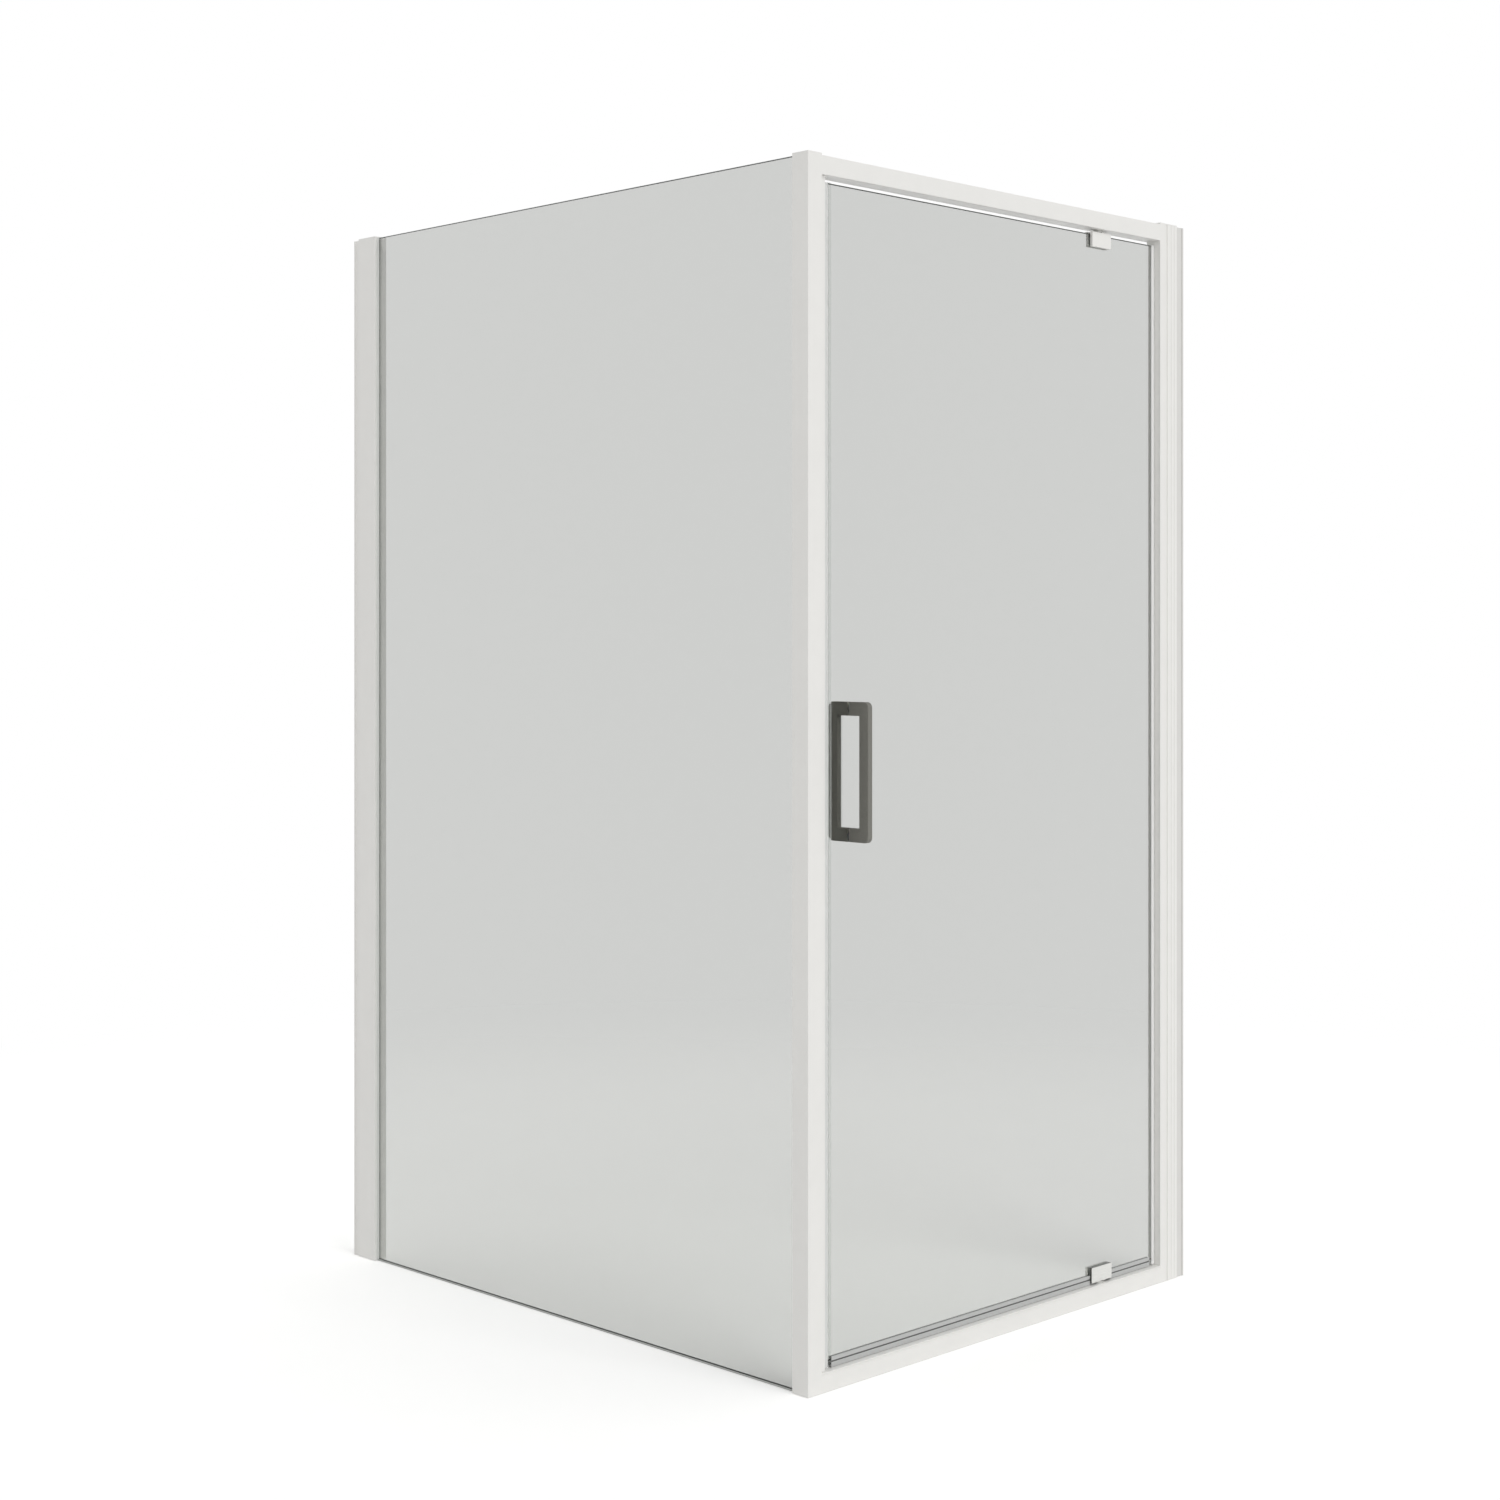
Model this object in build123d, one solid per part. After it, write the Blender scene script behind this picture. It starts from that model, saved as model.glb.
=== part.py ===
from build123d import *
import os

# Corner shower screen: a fixed glass side panel, a corner post and a framed pivot door.
# Millimetres. The origin is the foot of the post's outer corner, where the two outer
# faces meet. +X runs along the door to its wall, +Y along the side panel to its wall,
# +Z is up. The door's outer face is y = 0 and the side panel's outer face is x = 0.

# Overall sizes
screen_width = 1000.0
screen_depth = 1200.0
screen_height = 1932.0
frame_depth = 30.0

# Extruded frame
profile_wall = 1.8
edge_round = 0.9
cap_thickness = 2.0
cap_plug_length = 8.0
post_width = 31.0
post_depth = 35.0
rail_height = 30.0
rail_drop = 3.0
sill_height = 31.0
sill_flat_depth = 26.0
sill_back_drop = 4.0
sill_line_drop = 1.6
sill_line_height = 2.0
sill_line_depth = 0.7
jamb_width = 52.0
jamb_groove_offset = 17.0
jamb_groove_width = 5.6
jamb_groove_depth = 1.3
jamb_flutes = (34.0, 43.5)
flute_width = 1.2
flute_depth = 0.5

# Wall channels: how far each jamb's shoulder stands off its wall, and the channel itself
door_jamb_standoff = 22.0
side_jamb_standoff = 16.0
channel_outer_inset = 2.6
channel_inner_inset = 2.6
channel_lip_width = 3.5
channel_lip_rise = 1.4
tongue_end_gap = 2.2
shoulder_gap = 0.4
wall_hole_radius = 3.2
wall_hole_pitch = 560.0
wall_hole_count = 4
channel_screw_radius = 2.0
channel_screw_length = 11.0
channel_screw_head_radius = 3.6
channel_screw_head_height = 1.8
channel_screw_standoff = 9.0
channel_screw_pitch = 765.0
channel_screw_count = 3
screw_cap_radius = 5.5
screw_cap_skin = 0.9

# Glass
glass_thickness = 6.0
glass_arris = 0.6
side_glass_setback = 8.0
glazing_channel_depth = 15.0
glazing_end_gap = 2.0
gasket_thickness = 3.6
gasket_recess = 0.5
side_seal_base = 2.0
side_seal_lip_height = 2.0
side_seal_lip = 1.0
door_glass_setback = 13.0

# Clearances
slip_fit = 0.2
snug_fit = 0.05
running_fit = 0.05
door_gap = 0.4
thrust_gap = 0.3

# Strike side of the door
strike_width = 14.0
strike_setback = 6.0
strike_magnet_width = 10.0
strike_magnet_depth = 3.0
strike_stop_thickness = 2.5
strike_stop_reach = 7.0
strike_stop_gap = 1.2
magnet_seal_body = 10.4
seal_leg = 8.4
seal_skin = 1.6
door_magnet_depth = 2.6

# Hinge side and foot of the door
hinge_side_gap = 1.0
hinge_seal_body = 3.8
hinge_seal_leg = 12.6
drip_seal_leg = 6.3
drip_seal_web = 2.6
drip_fin_thickness = 1.2
drip_sill_gap = 2.2

# Pivots
pivot_inset = 166.0
bottom_clamp_width = 58.0
top_clamp_width = 54.2
clamp_height = 27.0
clamp_plate = 5.0
clamp_gasket = 1.0
clamp_corner = 1.2
clamp_edge = 0.5
bottom_clamp_gap = 3.8
bottom_clamp_overhang = 7.2
top_clamp_gap = 4.5
top_clamp_overhang = 4.0
boss_width = 24.0
boss_height = 20.0
notch_gap = 1.0
clamp_screw_offset = 20.5
clamp_screw_height = 17.5
clamp_screw_radius = 2.5
clamp_screw_head_radius = 4.6
clamp_screw_head_depth = 2.8
clamp_screw_skin = 1.5
pin_radius = 4.0
pin_chamfer = 0.5
pin_engagement = 16.0
pin_seat_depth = 24.0
bush_wall = 1.5
bush_length = 18.0
boss_wall = 1.5
collar_radius = 10.0
top_collar_radius = 8.0
top_collar_height = 3.0
pivot_block_length = 50.0
pivot_screw_offset = 15.0

# Frame screws and the blocks that join rail and sill to post and jamb
corner_block_length = 25.0
frame_screw_radius = 2.0
frame_screw_head_radius = 3.6
frame_screw_head_height = 2.0
frame_screw_length = 10.0
corner_screw_depth = 10.0
corner_screw_reach = 6.0
corner_screw_head_sink = 6.0
recess_radius = 1.5
recess_depth = 1.0

# Handles: two flat-bar D handles back to back on the door glass
handle_inset = 50.3
handle_centre_height = 964.5
handle_height = 222.0
handle_projection = 41.7
handle_thickness = 10.0
handle_grip_depth = 19.8
handle_leg_height = 22.0
handle_corner_radius = 9.0
handle_edge_round = 1.2
handle_pad = 1.0
stud_radius = 3.0
stud_bite = 13.0
grub_radius = 2.0
grub_length = 6.0
sleeve_wall = 1.3
glass_hole_gap = 0.2

# Working places
rail_top = screen_height - rail_drop
rail_bottom = rail_top - rail_height
door_jamb_face = screen_width - door_jamb_standoff - jamb_width
side_jamb_face = screen_depth - side_jamb_standoff - jamb_width
side_glass = (side_glass_setback, side_glass_setback + glass_thickness)
glazing_channel = (side_glass[0] - gasket_thickness, side_glass[1] + gasket_thickness)
door_glass = (door_glass_setback, door_glass_setback + glass_thickness)
profile_top = screen_height - cap_thickness
chamber_depth = (profile_wall, frame_depth - profile_wall)
rail_span = (post_width, door_jamb_face)
pivot_x = door_jamb_face - pivot_inset
pivot_y = door_glass_setback + glass_thickness / 2
strike_face = post_width + strike_width
seal_front = strike_face + door_gap
glass_free_edge = seal_front + magnet_seal_body + slip_fit
glass_hinge_edge = door_jamb_face - hinge_side_gap - hinge_seal_body - slip_fit
bottom_clamp_end = sill_height + bottom_clamp_gap
top_clamp_end = rail_bottom - top_clamp_gap
glass_bottom = bottom_clamp_end + bottom_clamp_overhang
glass_top = top_clamp_end - top_clamp_overhang
seal_bottom = sill_height + drip_sill_gap
handle_x = (glass_free_edge + handle_inset, glass_free_edge + handle_inset + handle_thickness)
handle_z = (handle_centre_height - handle_height / 2, handle_centre_height + handle_height / 2)
channel_depth = (channel_outer_inset, frame_depth - channel_inner_inset)
tongue_depth = (channel_depth[0] + profile_wall + slip_fit, channel_depth[1] - profile_wall - slip_fit)


def block(x, y, z):
    """A square-cornered solid between three pairs of limits."""
    size = (x[1] - x[0], y[1] - y[0], z[1] - z[0])
    return Pos(x[0], y[0], z[0]) * Box(*size, align=(Align.MIN, Align.MIN, Align.MIN))


def rod(start, direction, length, radius):
    """A round bar from a starting point along a direction."""
    lying = Plane(origin=start, z_dir=direction)
    return lying * Cylinder(radius, length, align=(Align.CENTER, Align.CENTER, Align.MIN))


def edges_through(solid, axis, places):
    """Edges parallel to an axis that pass through any of the places; None leaves a coordinate free."""
    found = []
    for edge in solid.edges().filter_by(axis):
        centre = edge.center()
        here = (centre.X, centre.Y, centre.Z)
        for place in places:
            misses = [abs(a - b) for a, b in zip(here, place) if b is not None]
            if max(misses) < snug_fit / 2:
                found.append(edge)
    return found


def shrunk(limits, margin):
    """A pair of limits drawn in by a margin at both ends."""
    return (limits[0] + margin, limits[1] - margin)


def wall_block(side, out, deep, z):
    """A solid placed from a wall: out is measured off the wall, deep behind the outer face."""
    if side == "door":
        return block((screen_width - out[1], screen_width - out[0]), deep, z)
    return block(deep, (screen_depth - out[1], screen_depth - out[0]), z)


def wall_point(side, out, deep, z):
    """The point at a distance off a wall and a distance behind the outer face."""
    if side == "door":
        return (screen_width - out, deep, z)
    return (deep, screen_depth - out, z)


def wall_rod(side, out, deep, z, length, radius):
    """A round bar that runs into the wall from a distance off it."""
    direction = (1, 0, 0) if side == "door" else (0, 1, 0)
    return rod(wall_point(side, out, deep, z), direction, length, radius)


def depth_rod(side, out, deep, z, length, radius):
    """A round bar that runs towards the outer face, starting a distance behind it."""
    direction = (0, -1, 0) if side == "door" else (-1, 0, 0)
    return rod(wall_point(side, out, deep, z), direction, length, radius)


def heights(pitch, count):
    """Evenly spaced heights about the middle of the screen."""
    first = screen_height / 2 - pitch * (count - 1) / 2
    return [first + pitch * i for i in range(count)]


# Corner post: a two-chamber extrusion with the side glass channel in its back
def corner_post():
    z = (0, profile_top)
    channel_floor = post_depth - glazing_channel_depth
    post = block((0, post_width), (0, post_depth), z)
    post = fillet(edges_through(post, Axis.Z, [(0, 0, None), (0, post_depth, None)]), edge_round)
    post -= block(shrunk((0, post_width), profile_wall), shrunk((0, channel_floor), profile_wall), z)
    post -= block(glazing_channel, (channel_floor, post_depth), z)
    inner_x = (glazing_channel[1] + profile_wall, post_width - profile_wall)
    post -= block(inner_x, (channel_floor, post_depth - profile_wall), z)
    for height in corner_screw_heights():
        hole = rod((0, corner_screw_depth, height), (1, 0, 0), post_width, frame_screw_radius + snug_fit)
        keep_out = block((0, post_width / 2), (0, post_depth), z)
        post -= hole - keep_out
    return post


def post_cap():
    channel_floor = post_depth - glazing_channel_depth
    cap = block((0, post_width), (0, post_depth), (profile_top, screen_height))
    rounds = [(0, 0, None), (0, post_depth, None)]
    cap = fillet(edges_through(cap, Axis.Z, rounds), edge_round)
    margin = profile_wall + slip_fit
    plug_z = (profile_top - cap_plug_length, profile_top)
    return cap + block(shrunk((0, post_width), margin), shrunk((0, channel_floor), margin), plug_z)


def glazing_gaskets(lie, z):
    """Two rubber strips, one each side of the side glass; lie is their run along the panel."""
    outer = block((glazing_channel[0] + snug_fit, side_glass[0] - snug_fit), lie, z)
    inner = block((side_glass[1] + snug_fit, glazing_channel[1] - snug_fit), lie, z)
    return Compound(children=[outer, inner])


# Side panel
def side_glass_pane():
    y_from = post_depth - glazing_channel_depth + glazing_end_gap
    y_to = side_jamb_face + glazing_channel_depth - glazing_end_gap
    pane = block(side_glass, (y_from, y_to), (side_seal_base + slip_fit, profile_top))
    return chamfer(pane.edges(), glass_arris)


def side_bottom_seal():
    y = (post_depth + slip_fit, side_jamb_face - slip_fit)
    x = (side_glass[0] - slip_fit - side_seal_lip, side_glass[1] + slip_fit + side_seal_lip)
    top = side_seal_base + side_seal_lip_height
    seal = block(x, y, (0, top))
    return seal - block(shrunk(x, side_seal_lip), y, (side_seal_base, top))


# Jambs: a hollow box beside each wall, with a tongue that slides in the wall channel
def jamb(side, standoff):
    z = (0, profile_top)
    shoulder = standoff
    face = standoff + jamb_width
    tongue_end = profile_wall + tongue_end_gap
    box = wall_block(side, (shoulder, face), (0, frame_depth), z)
    tongue = wall_block(side, (tongue_end, shoulder), tongue_depth, z)
    hollow = (tongue_end + profile_wall, shoulder)
    tongue -= wall_block(side, hollow, shrunk(tongue_depth, profile_wall), z)
    return box, tongue, (shoulder, face), z


def side_jamb():
    box, tongue, out, z = jamb("side", side_jamb_standoff)
    rounds = [(0, side_jamb_face, None), (frame_depth, side_jamb_face, None)]
    box = fillet(edges_through(box, Axis.Z, rounds), edge_round)
    channel_floor = out[1] - glazing_channel_depth
    box -= wall_block("side", (channel_floor, out[1]), glazing_channel, z)
    box -= wall_block("side", (out[0] + profile_wall, channel_floor - profile_wall), chamber_depth, z)
    beside = (glazing_channel[1] + profile_wall, chamber_depth[1])
    box -= wall_block("side", (channel_floor, out[1] - profile_wall), beside, z)
    return box + tongue - channel_screw_holes("side")


def hinge_jamb():
    box, tongue, out, z = jamb("door", door_jamb_standoff)
    rounds = [(door_jamb_face, frame_depth, None)]
    box = fillet(edges_through(box, Axis.Z, rounds), edge_round)
    groove = (out[1] - jamb_groove_offset - jamb_groove_width, out[1] - jamb_groove_offset)
    box -= wall_block("door", groove, (0, jamb_groove_depth), z)
    box -= wall_block("door", (groove[1] + profile_wall, out[1] - profile_wall), chamber_depth, z)
    box -= wall_block("door", (out[0] + profile_wall, groove[0] - profile_wall), chamber_depth, z)
    for offset in jamb_flutes:
        flute = (out[1] - offset - flute_width / 2, out[1] - offset + flute_width / 2)
        box -= wall_block("door", flute, (0, flute_depth), z)
    for height in corner_screw_heights():
        start = (door_jamb_face, corner_screw_depth, height)
        box -= rod(start, (1, 0, 0), profile_wall, frame_screw_radius + snug_fit)
    return box + tongue - channel_screw_holes("door")


def jamb_cap(side, standoff):
    """A thin moulded cover on a jamb's top, with a plug in its largest chamber."""
    out = (standoff, standoff + jamb_width)
    cap = wall_block(side, out, (0, frame_depth), (profile_top, screen_height))
    plug_z = (profile_top - cap_plug_length, profile_top)
    margin = profile_wall + slip_fit
    if side == "door":
        plug_out = (out[0] + margin, out[1] - jamb_groove_offset - jamb_groove_width - margin)
    else:
        plug_out = (out[0] + margin, out[1] - glazing_channel_depth - margin)
    return cap + wall_block(side, plug_out, shrunk(chamber_depth, slip_fit), plug_z)


# Wall channels: U extrusions screwed to the walls
def wall_channel(side, standoff):
    z = (0, profile_top)
    reach = standoff - shoulder_gap
    channel = wall_block(side, (0, reach), channel_depth, z)
    channel -= wall_block(side, (profile_wall, reach), shrunk(channel_depth, profile_wall), z)
    lip = (channel_depth[0] - channel_lip_rise, channel_depth[0])
    channel += wall_block(side, (0, channel_lip_width), lip, z)
    for height in heights(wall_hole_pitch, wall_hole_count):
        channel -= wall_rod(side, reach, frame_depth / 2, height, reach, wall_hole_radius)
    return channel - channel_screw_holes(side)


def channel_screw_holes(side):
    holes = Part()
    radius = channel_screw_radius + snug_fit
    for height in heights(channel_screw_pitch, channel_screw_count):
        start = channel_depth[1]
        holes += depth_rod(side, channel_screw_standoff, start, height, channel_screw_length, radius)
    return holes


def channel_screw(side, height):
    """A pan-head screw through the channel's inner leg into the jamb's tongue."""
    back = channel_depth[1] + channel_screw_head_height
    out = channel_screw_standoff
    head = depth_rod(side, out, back, height, channel_screw_head_height, channel_screw_head_radius)
    head -= depth_rod(side, out, back, height, recess_depth, recess_radius)
    length = channel_screw_length + channel_screw_head_height
    shank = depth_rod(side, out, back - recess_depth, height, length - recess_depth, channel_screw_radius)
    return head + shank


def channel_screw_cap(side, height):
    """A snap cover over a channel screw's head."""
    inside = channel_screw_head_height + slip_fit
    back = channel_depth[1] + inside + screw_cap_skin
    out = channel_screw_standoff
    cap = depth_rod(side, out, back, height, inside + screw_cap_skin, screw_cap_radius)
    cap -= depth_rod(side, out, back - screw_cap_skin, height, inside, channel_screw_head_radius + slip_fit)
    rims = cap.edges().filter_by(GeomType.CIRCLE).sort_by_distance(wall_point(side, out, back, height))
    return fillet(rims[0], screw_cap_skin / 2)


def on_both_channels(maker):
    pieces = []
    for side in ("door", "side"):
        for height in heights(channel_screw_pitch, channel_screw_count):
            pieces.append(maker(side, height))
    return Compound(children=pieces)


# Top rail and sill: hollow extrusions between the post and the hinge jamb
def rail_chamber(x, margin):
    return block(x, shrunk(chamber_depth, margin), shrunk((rail_bottom, rail_top), profile_wall + margin))


def sill_chamber(x, margin):
    """The hollow of the sill, lower at the back under the sloping drain edge."""
    back_top = sill_height - sill_back_drop - profile_wall
    low = block(x, shrunk(chamber_depth, margin), shrunk((profile_wall, back_top), margin))
    high_depth = (profile_wall, sill_flat_depth - profile_wall)
    high = block(x, shrunk(high_depth, margin), shrunk((profile_wall, sill_height - profile_wall), margin))
    return low + high


def top_rail():
    rail = block(rail_span, (0, frame_depth), (rail_bottom, rail_top))
    places = [(None, 0, rail_top), (None, 0, rail_bottom), (None, frame_depth, rail_top)]
    rail = fillet(edges_through(rail, Axis.X, places), edge_round)
    rail -= rail_chamber(rail_span, 0)
    rail -= rod((pivot_x, pivot_y, rail_bottom), (0, 0, 1), profile_wall, pin_radius + slip_fit)
    return rail - rear_screw_holes(rail_screw_height(), frame_depth)


def bottom_sill():
    back_top = sill_height - sill_back_drop
    outline = Polyline(
        (rail_span[0], 0, 0),
        (rail_span[0], frame_depth, 0),
        (rail_span[0], frame_depth, back_top),
        (rail_span[0], sill_flat_depth, sill_height),
        (rail_span[0], 0, sill_height),
        close=True,
    )
    sill = extrude(make_face(outline), rail_span[1] - rail_span[0], dir=(1, 0, 0))
    sill = fillet(edges_through(sill, Axis.X, [(None, 0, sill_height)]), edge_round)
    line_top = sill_height - sill_line_drop
    sill -= block(rail_span, (0, sill_line_depth), (line_top - sill_line_height, line_top))
    sill -= sill_chamber(rail_span, 0)
    sill -= rod((pivot_x, pivot_y, sill_height), (0, 0, -1), profile_wall, pin_radius + slip_fit)
    return sill - rear_screw_holes(sill_screw_height(), frame_depth)


# Corner blocks inside the ends of rail and sill, and all the frame's screws
def rail_screw_height():
    return rail_top - rail_height / 2


def sill_screw_height():
    return (sill_height - sill_back_drop) / 2


def corner_screw_heights():
    return (rail_screw_height(), sill_screw_height())


def corner_block_spans():
    return (
        (rail_span[0] + slip_fit, rail_span[0] + corner_block_length),
        (rail_span[1] - corner_block_length, rail_span[1] - slip_fit),
    )


def rear_screw_places():
    """Where screws enter the inner face of rail and sill, along the door."""
    ends = [(x[0] + x[1]) / 2 for x in corner_block_spans()]
    pivots = [pivot_x - pivot_screw_offset, pivot_x + pivot_screw_offset]
    return ends, pivots


def rear_screw_holes(height, back):
    holes = Part()
    ends, pivots = rear_screw_places()
    for x in ends + pivots:
        holes += rod((x, back, height), (0, -1, 0), frame_screw_length, frame_screw_radius + snug_fit)
    return holes


def screw(tip_side, direction, length):
    """A pan-head screw: its head's flat side lies at the given point, its shank runs along the direction."""
    back = tuple(p - d * frame_screw_head_height for p, d in zip(tip_side, direction))
    sunk = tuple(b + d * recess_depth for b, d in zip(back, direction))
    head = rod(back, direction, frame_screw_head_height, frame_screw_head_radius)
    head -= rod(back, direction, recess_depth, recess_radius)
    return head + rod(sunk, direction, length + frame_screw_head_height - recess_depth, frame_screw_radius)


def corner_screw_start(x, facing):
    """The seat of a corner screw's head inside its block."""
    return x[1] - corner_screw_head_sink if facing < 0 else x[0] + corner_screw_head_sink


def corner_blocks():
    pieces = []
    for chamber, height in ((rail_chamber, rail_screw_height()), (sill_chamber, sill_screw_height())):
        for x, facing in zip(corner_block_spans(), (-1, 1)):
            piece = chamber(x, slip_fit)
            seat = corner_screw_start(x, facing)
            bore = (seat, corner_screw_depth, height)
            piece -= rod(bore, (facing, 0, 0), corner_block_length, frame_screw_radius + snug_fit)
            piece -= rod(bore, (-facing, 0, 0), corner_block_length, frame_screw_head_radius + slip_fit)
            rear = ((x[0] + x[1]) / 2, frame_depth, height)
            piece -= rod(rear, (0, -1, 0), frame_screw_length, frame_screw_radius + snug_fit)
            pieces.append(piece)
    return Compound(children=pieces)


def corner_block_screws():
    pieces = []
    for height in corner_screw_heights():
        for x, facing, face in zip(corner_block_spans(), (-1, 1), rail_span):
            seat = corner_screw_start(x, facing)
            length = abs(face - seat) + corner_screw_reach
            pieces.append(screw((seat, corner_screw_depth, height), (facing, 0, 0), length))
            middle = (x[0] + x[1]) / 2
            pieces.append(screw((middle, frame_depth, height), (0, -1, 0), frame_screw_length))
    return Compound(children=pieces)


def pivot_block_screws():
    pieces = []
    for height in corner_screw_heights():
        for x in rear_screw_places()[1]:
            pieces.append(screw((x, frame_depth, height), (0, -1, 0), frame_screw_length))
    return Compound(children=pieces)


# Pivot blocks and pins, fixed in the rail and the sill
def pivot_block(chamber, height, face, direction):
    x = (pivot_x - pivot_block_length / 2, pivot_x + pivot_block_length / 2)
    piece = chamber(x, slip_fit)
    piece -= rod((pivot_x, pivot_y, face), direction, pin_seat_depth, pin_radius + snug_fit)
    for place in rear_screw_places()[1]:
        start = (place, frame_depth, height)
        piece -= rod(start, (0, -1, 0), frame_screw_length, frame_screw_radius + snug_fit)
    return piece


def bottom_pivot_pin():
    collar_height = bottom_clamp_gap - thrust_gap
    seat = (pivot_x, pivot_y, sill_height)
    collar = rod(seat, (0, 0, 1), collar_height, collar_radius)
    length = pin_seat_depth + bottom_clamp_gap + pin_engagement
    shaft = rod((pivot_x, pivot_y, sill_height - pin_seat_depth), (0, 0, 1), length, pin_radius)
    shaft = chamfer(shaft.edges().sort_by(Axis.Z)[-1], pin_chamfer)
    return collar + shaft


def top_pivot_pin():
    collar = rod((pivot_x, pivot_y, rail_bottom), (0, 0, -1), top_collar_height, top_collar_radius)
    length = pin_seat_depth + top_clamp_gap + pin_engagement
    shaft = rod((pivot_x, pivot_y, rail_bottom + pin_seat_depth), (0, 0, -1), length, pin_radius)
    shaft = chamfer(shaft.edges().sort_by(Axis.Z)[0], pin_chamfer)
    return collar + shaft


# Strike side: the profile on the post that meets the door, with its magnet strip
def strike_profile():
    z = (sill_height + slip_fit, rail_bottom - slip_fit)
    seal_back = door_glass[1] + slip_fit + seal_skin
    stop = (seal_back + strike_stop_gap, seal_back + strike_stop_gap + strike_stop_thickness)
    profile = block((post_width, strike_face), (strike_setback, stop[1]), z)
    profile = fillet(edges_through(profile, Axis.Z, [(strike_face, strike_setback, None)]), edge_round)
    profile += block((strike_face - profile_wall, strike_face + strike_stop_reach), stop, z)
    hollow_x = (post_width + profile_wall, strike_face - strike_magnet_depth - slip_fit - profile_wall)
    profile -= block(hollow_x, (strike_setback + profile_wall, stop[1] - profile_wall), z)
    half = strike_magnet_width / 2 + snug_fit
    pocket_x = (strike_face - strike_magnet_depth - slip_fit, strike_face)
    return profile - block(pocket_x, (pivot_y - half, pivot_y + half), z)


def strike_magnet():
    z = (sill_height + slip_fit, rail_bottom - slip_fit)
    x = (strike_face - strike_magnet_depth - slip_fit + snug_fit, strike_face - slip_fit)
    half = strike_magnet_width / 2
    return block(x, (pivot_y - half, pivot_y + half), z)


def seal_depth():
    """Front and back faces of the seals that grip the door glass."""
    return (door_glass[0] - slip_fit - seal_skin, door_glass[1] + slip_fit + seal_skin)


def magnet_pocket():
    x = (seal_front + seal_skin / 2, seal_front + seal_skin / 2 + door_magnet_depth)
    return x, shrunk(seal_depth(), seal_skin)


def magnet_seal():
    """Clear strip on the door's free edge: a hollow nose with a magnet, and two legs on the glass."""
    z = (seal_bottom, glass_top)
    web = seal_front + magnet_seal_body
    seal = block((seal_front, glass_free_edge + seal_leg), seal_depth(), z)
    seal -= block((web, glass_free_edge + seal_leg), shrunk(seal_depth(), seal_skin), z)
    pocket_x, pocket_y = magnet_pocket()
    seal -= block(pocket_x, pocket_y, z)
    return seal - block((pocket_x[1] + seal_skin, web - seal_skin), pocket_y, z)


def door_magnet():
    pocket_x, pocket_y = magnet_pocket()
    return block(shrunk(pocket_x, snug_fit), shrunk(pocket_y, snug_fit), (seal_bottom, glass_top))


# Hinge side and foot of the door
def hinge_edge_seal():
    z = (seal_bottom, glass_top)
    web = glass_hinge_edge + slip_fit
    seal = block((glass_hinge_edge - hinge_seal_leg, web + hinge_seal_body), seal_depth(), z)
    rounds = [(web + hinge_seal_body, y, None) for y in seal_depth()]
    seal = fillet(edges_through(seal, Axis.Z, rounds), seal_skin)
    return seal - block((glass_hinge_edge - hinge_seal_leg, web), shrunk(seal_depth(), seal_skin), z)


def drip_seals():
    """Two lengths of channel seal under the glass, either side of the pivot, each with two fins."""
    half = bottom_clamp_width / 2 + slip_fit
    free_end = glass_free_edge + seal_leg + slip_fit
    hinge_end = glass_hinge_edge - hinge_seal_leg - slip_fit
    pieces = []
    for x in ((free_end, pivot_x - half), (pivot_x + half, hinge_end)):
        web = (glass_bottom - slip_fit - drip_seal_web, glass_bottom - slip_fit)
        piece = block(x, seal_depth(), (web[0], glass_bottom + drip_seal_leg))
        piece -= block(x, shrunk(seal_depth(), seal_skin), (web[1], glass_bottom + drip_seal_leg))
        for y in (seal_depth()[0], seal_depth()[1] - drip_fin_thickness):
            piece += block(x, (y, y + drip_fin_thickness), (seal_bottom, web[0]))
        pieces.append(piece)
    return Compound(children=pieces)


# Pivot clamps: an outer plate with a boss in the glass notch, an inner plate, gaskets and screws
def clamp_z(end, up, limits):
    """Heights measured from a clamp's outer end, up at the foot of the door and down at its head."""
    return tuple(sorted(end + up * limit for limit in limits))


def clamp_x(width):
    return (pivot_x - width / 2, pivot_x + width / 2)


def clamp_screw_places(end, up):
    height = end + up * clamp_screw_height
    return [(pivot_x - clamp_screw_offset, height), (pivot_x + clamp_screw_offset, height)]


def bush_radius():
    return pin_radius + running_fit + bush_wall


def boss_back():
    return pivot_y + bush_radius() + boss_wall


def outer_clamp(end, up, width):
    front = door_glass[0] - clamp_gasket - clamp_plate
    plate_z = clamp_z(end, up, (0, clamp_height))
    plate = block(clamp_x(width), (front, front + clamp_plate), plate_z)
    plate = fillet(plate.edges().filter_by(Axis.Y), clamp_corner)
    plate = chamfer(plate.faces().sort_by(Axis.Y)[0].edges(), clamp_edge)
    boss_z = clamp_z(end, up, (0, boss_height))
    plate += block(clamp_x(boss_width), (front + clamp_plate, boss_back()), boss_z)
    start = (pivot_x, pivot_y, end)
    plate -= rod(start, (0, 0, up), bush_length, bush_radius() + snug_fit)
    for x, z in clamp_screw_places(end, up):
        tapped = clamp_plate - clamp_screw_skin
        plate -= rod((x, front + clamp_plate, z), (0, -1, 0), tapped, clamp_screw_radius + snug_fit)
    return plate


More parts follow.
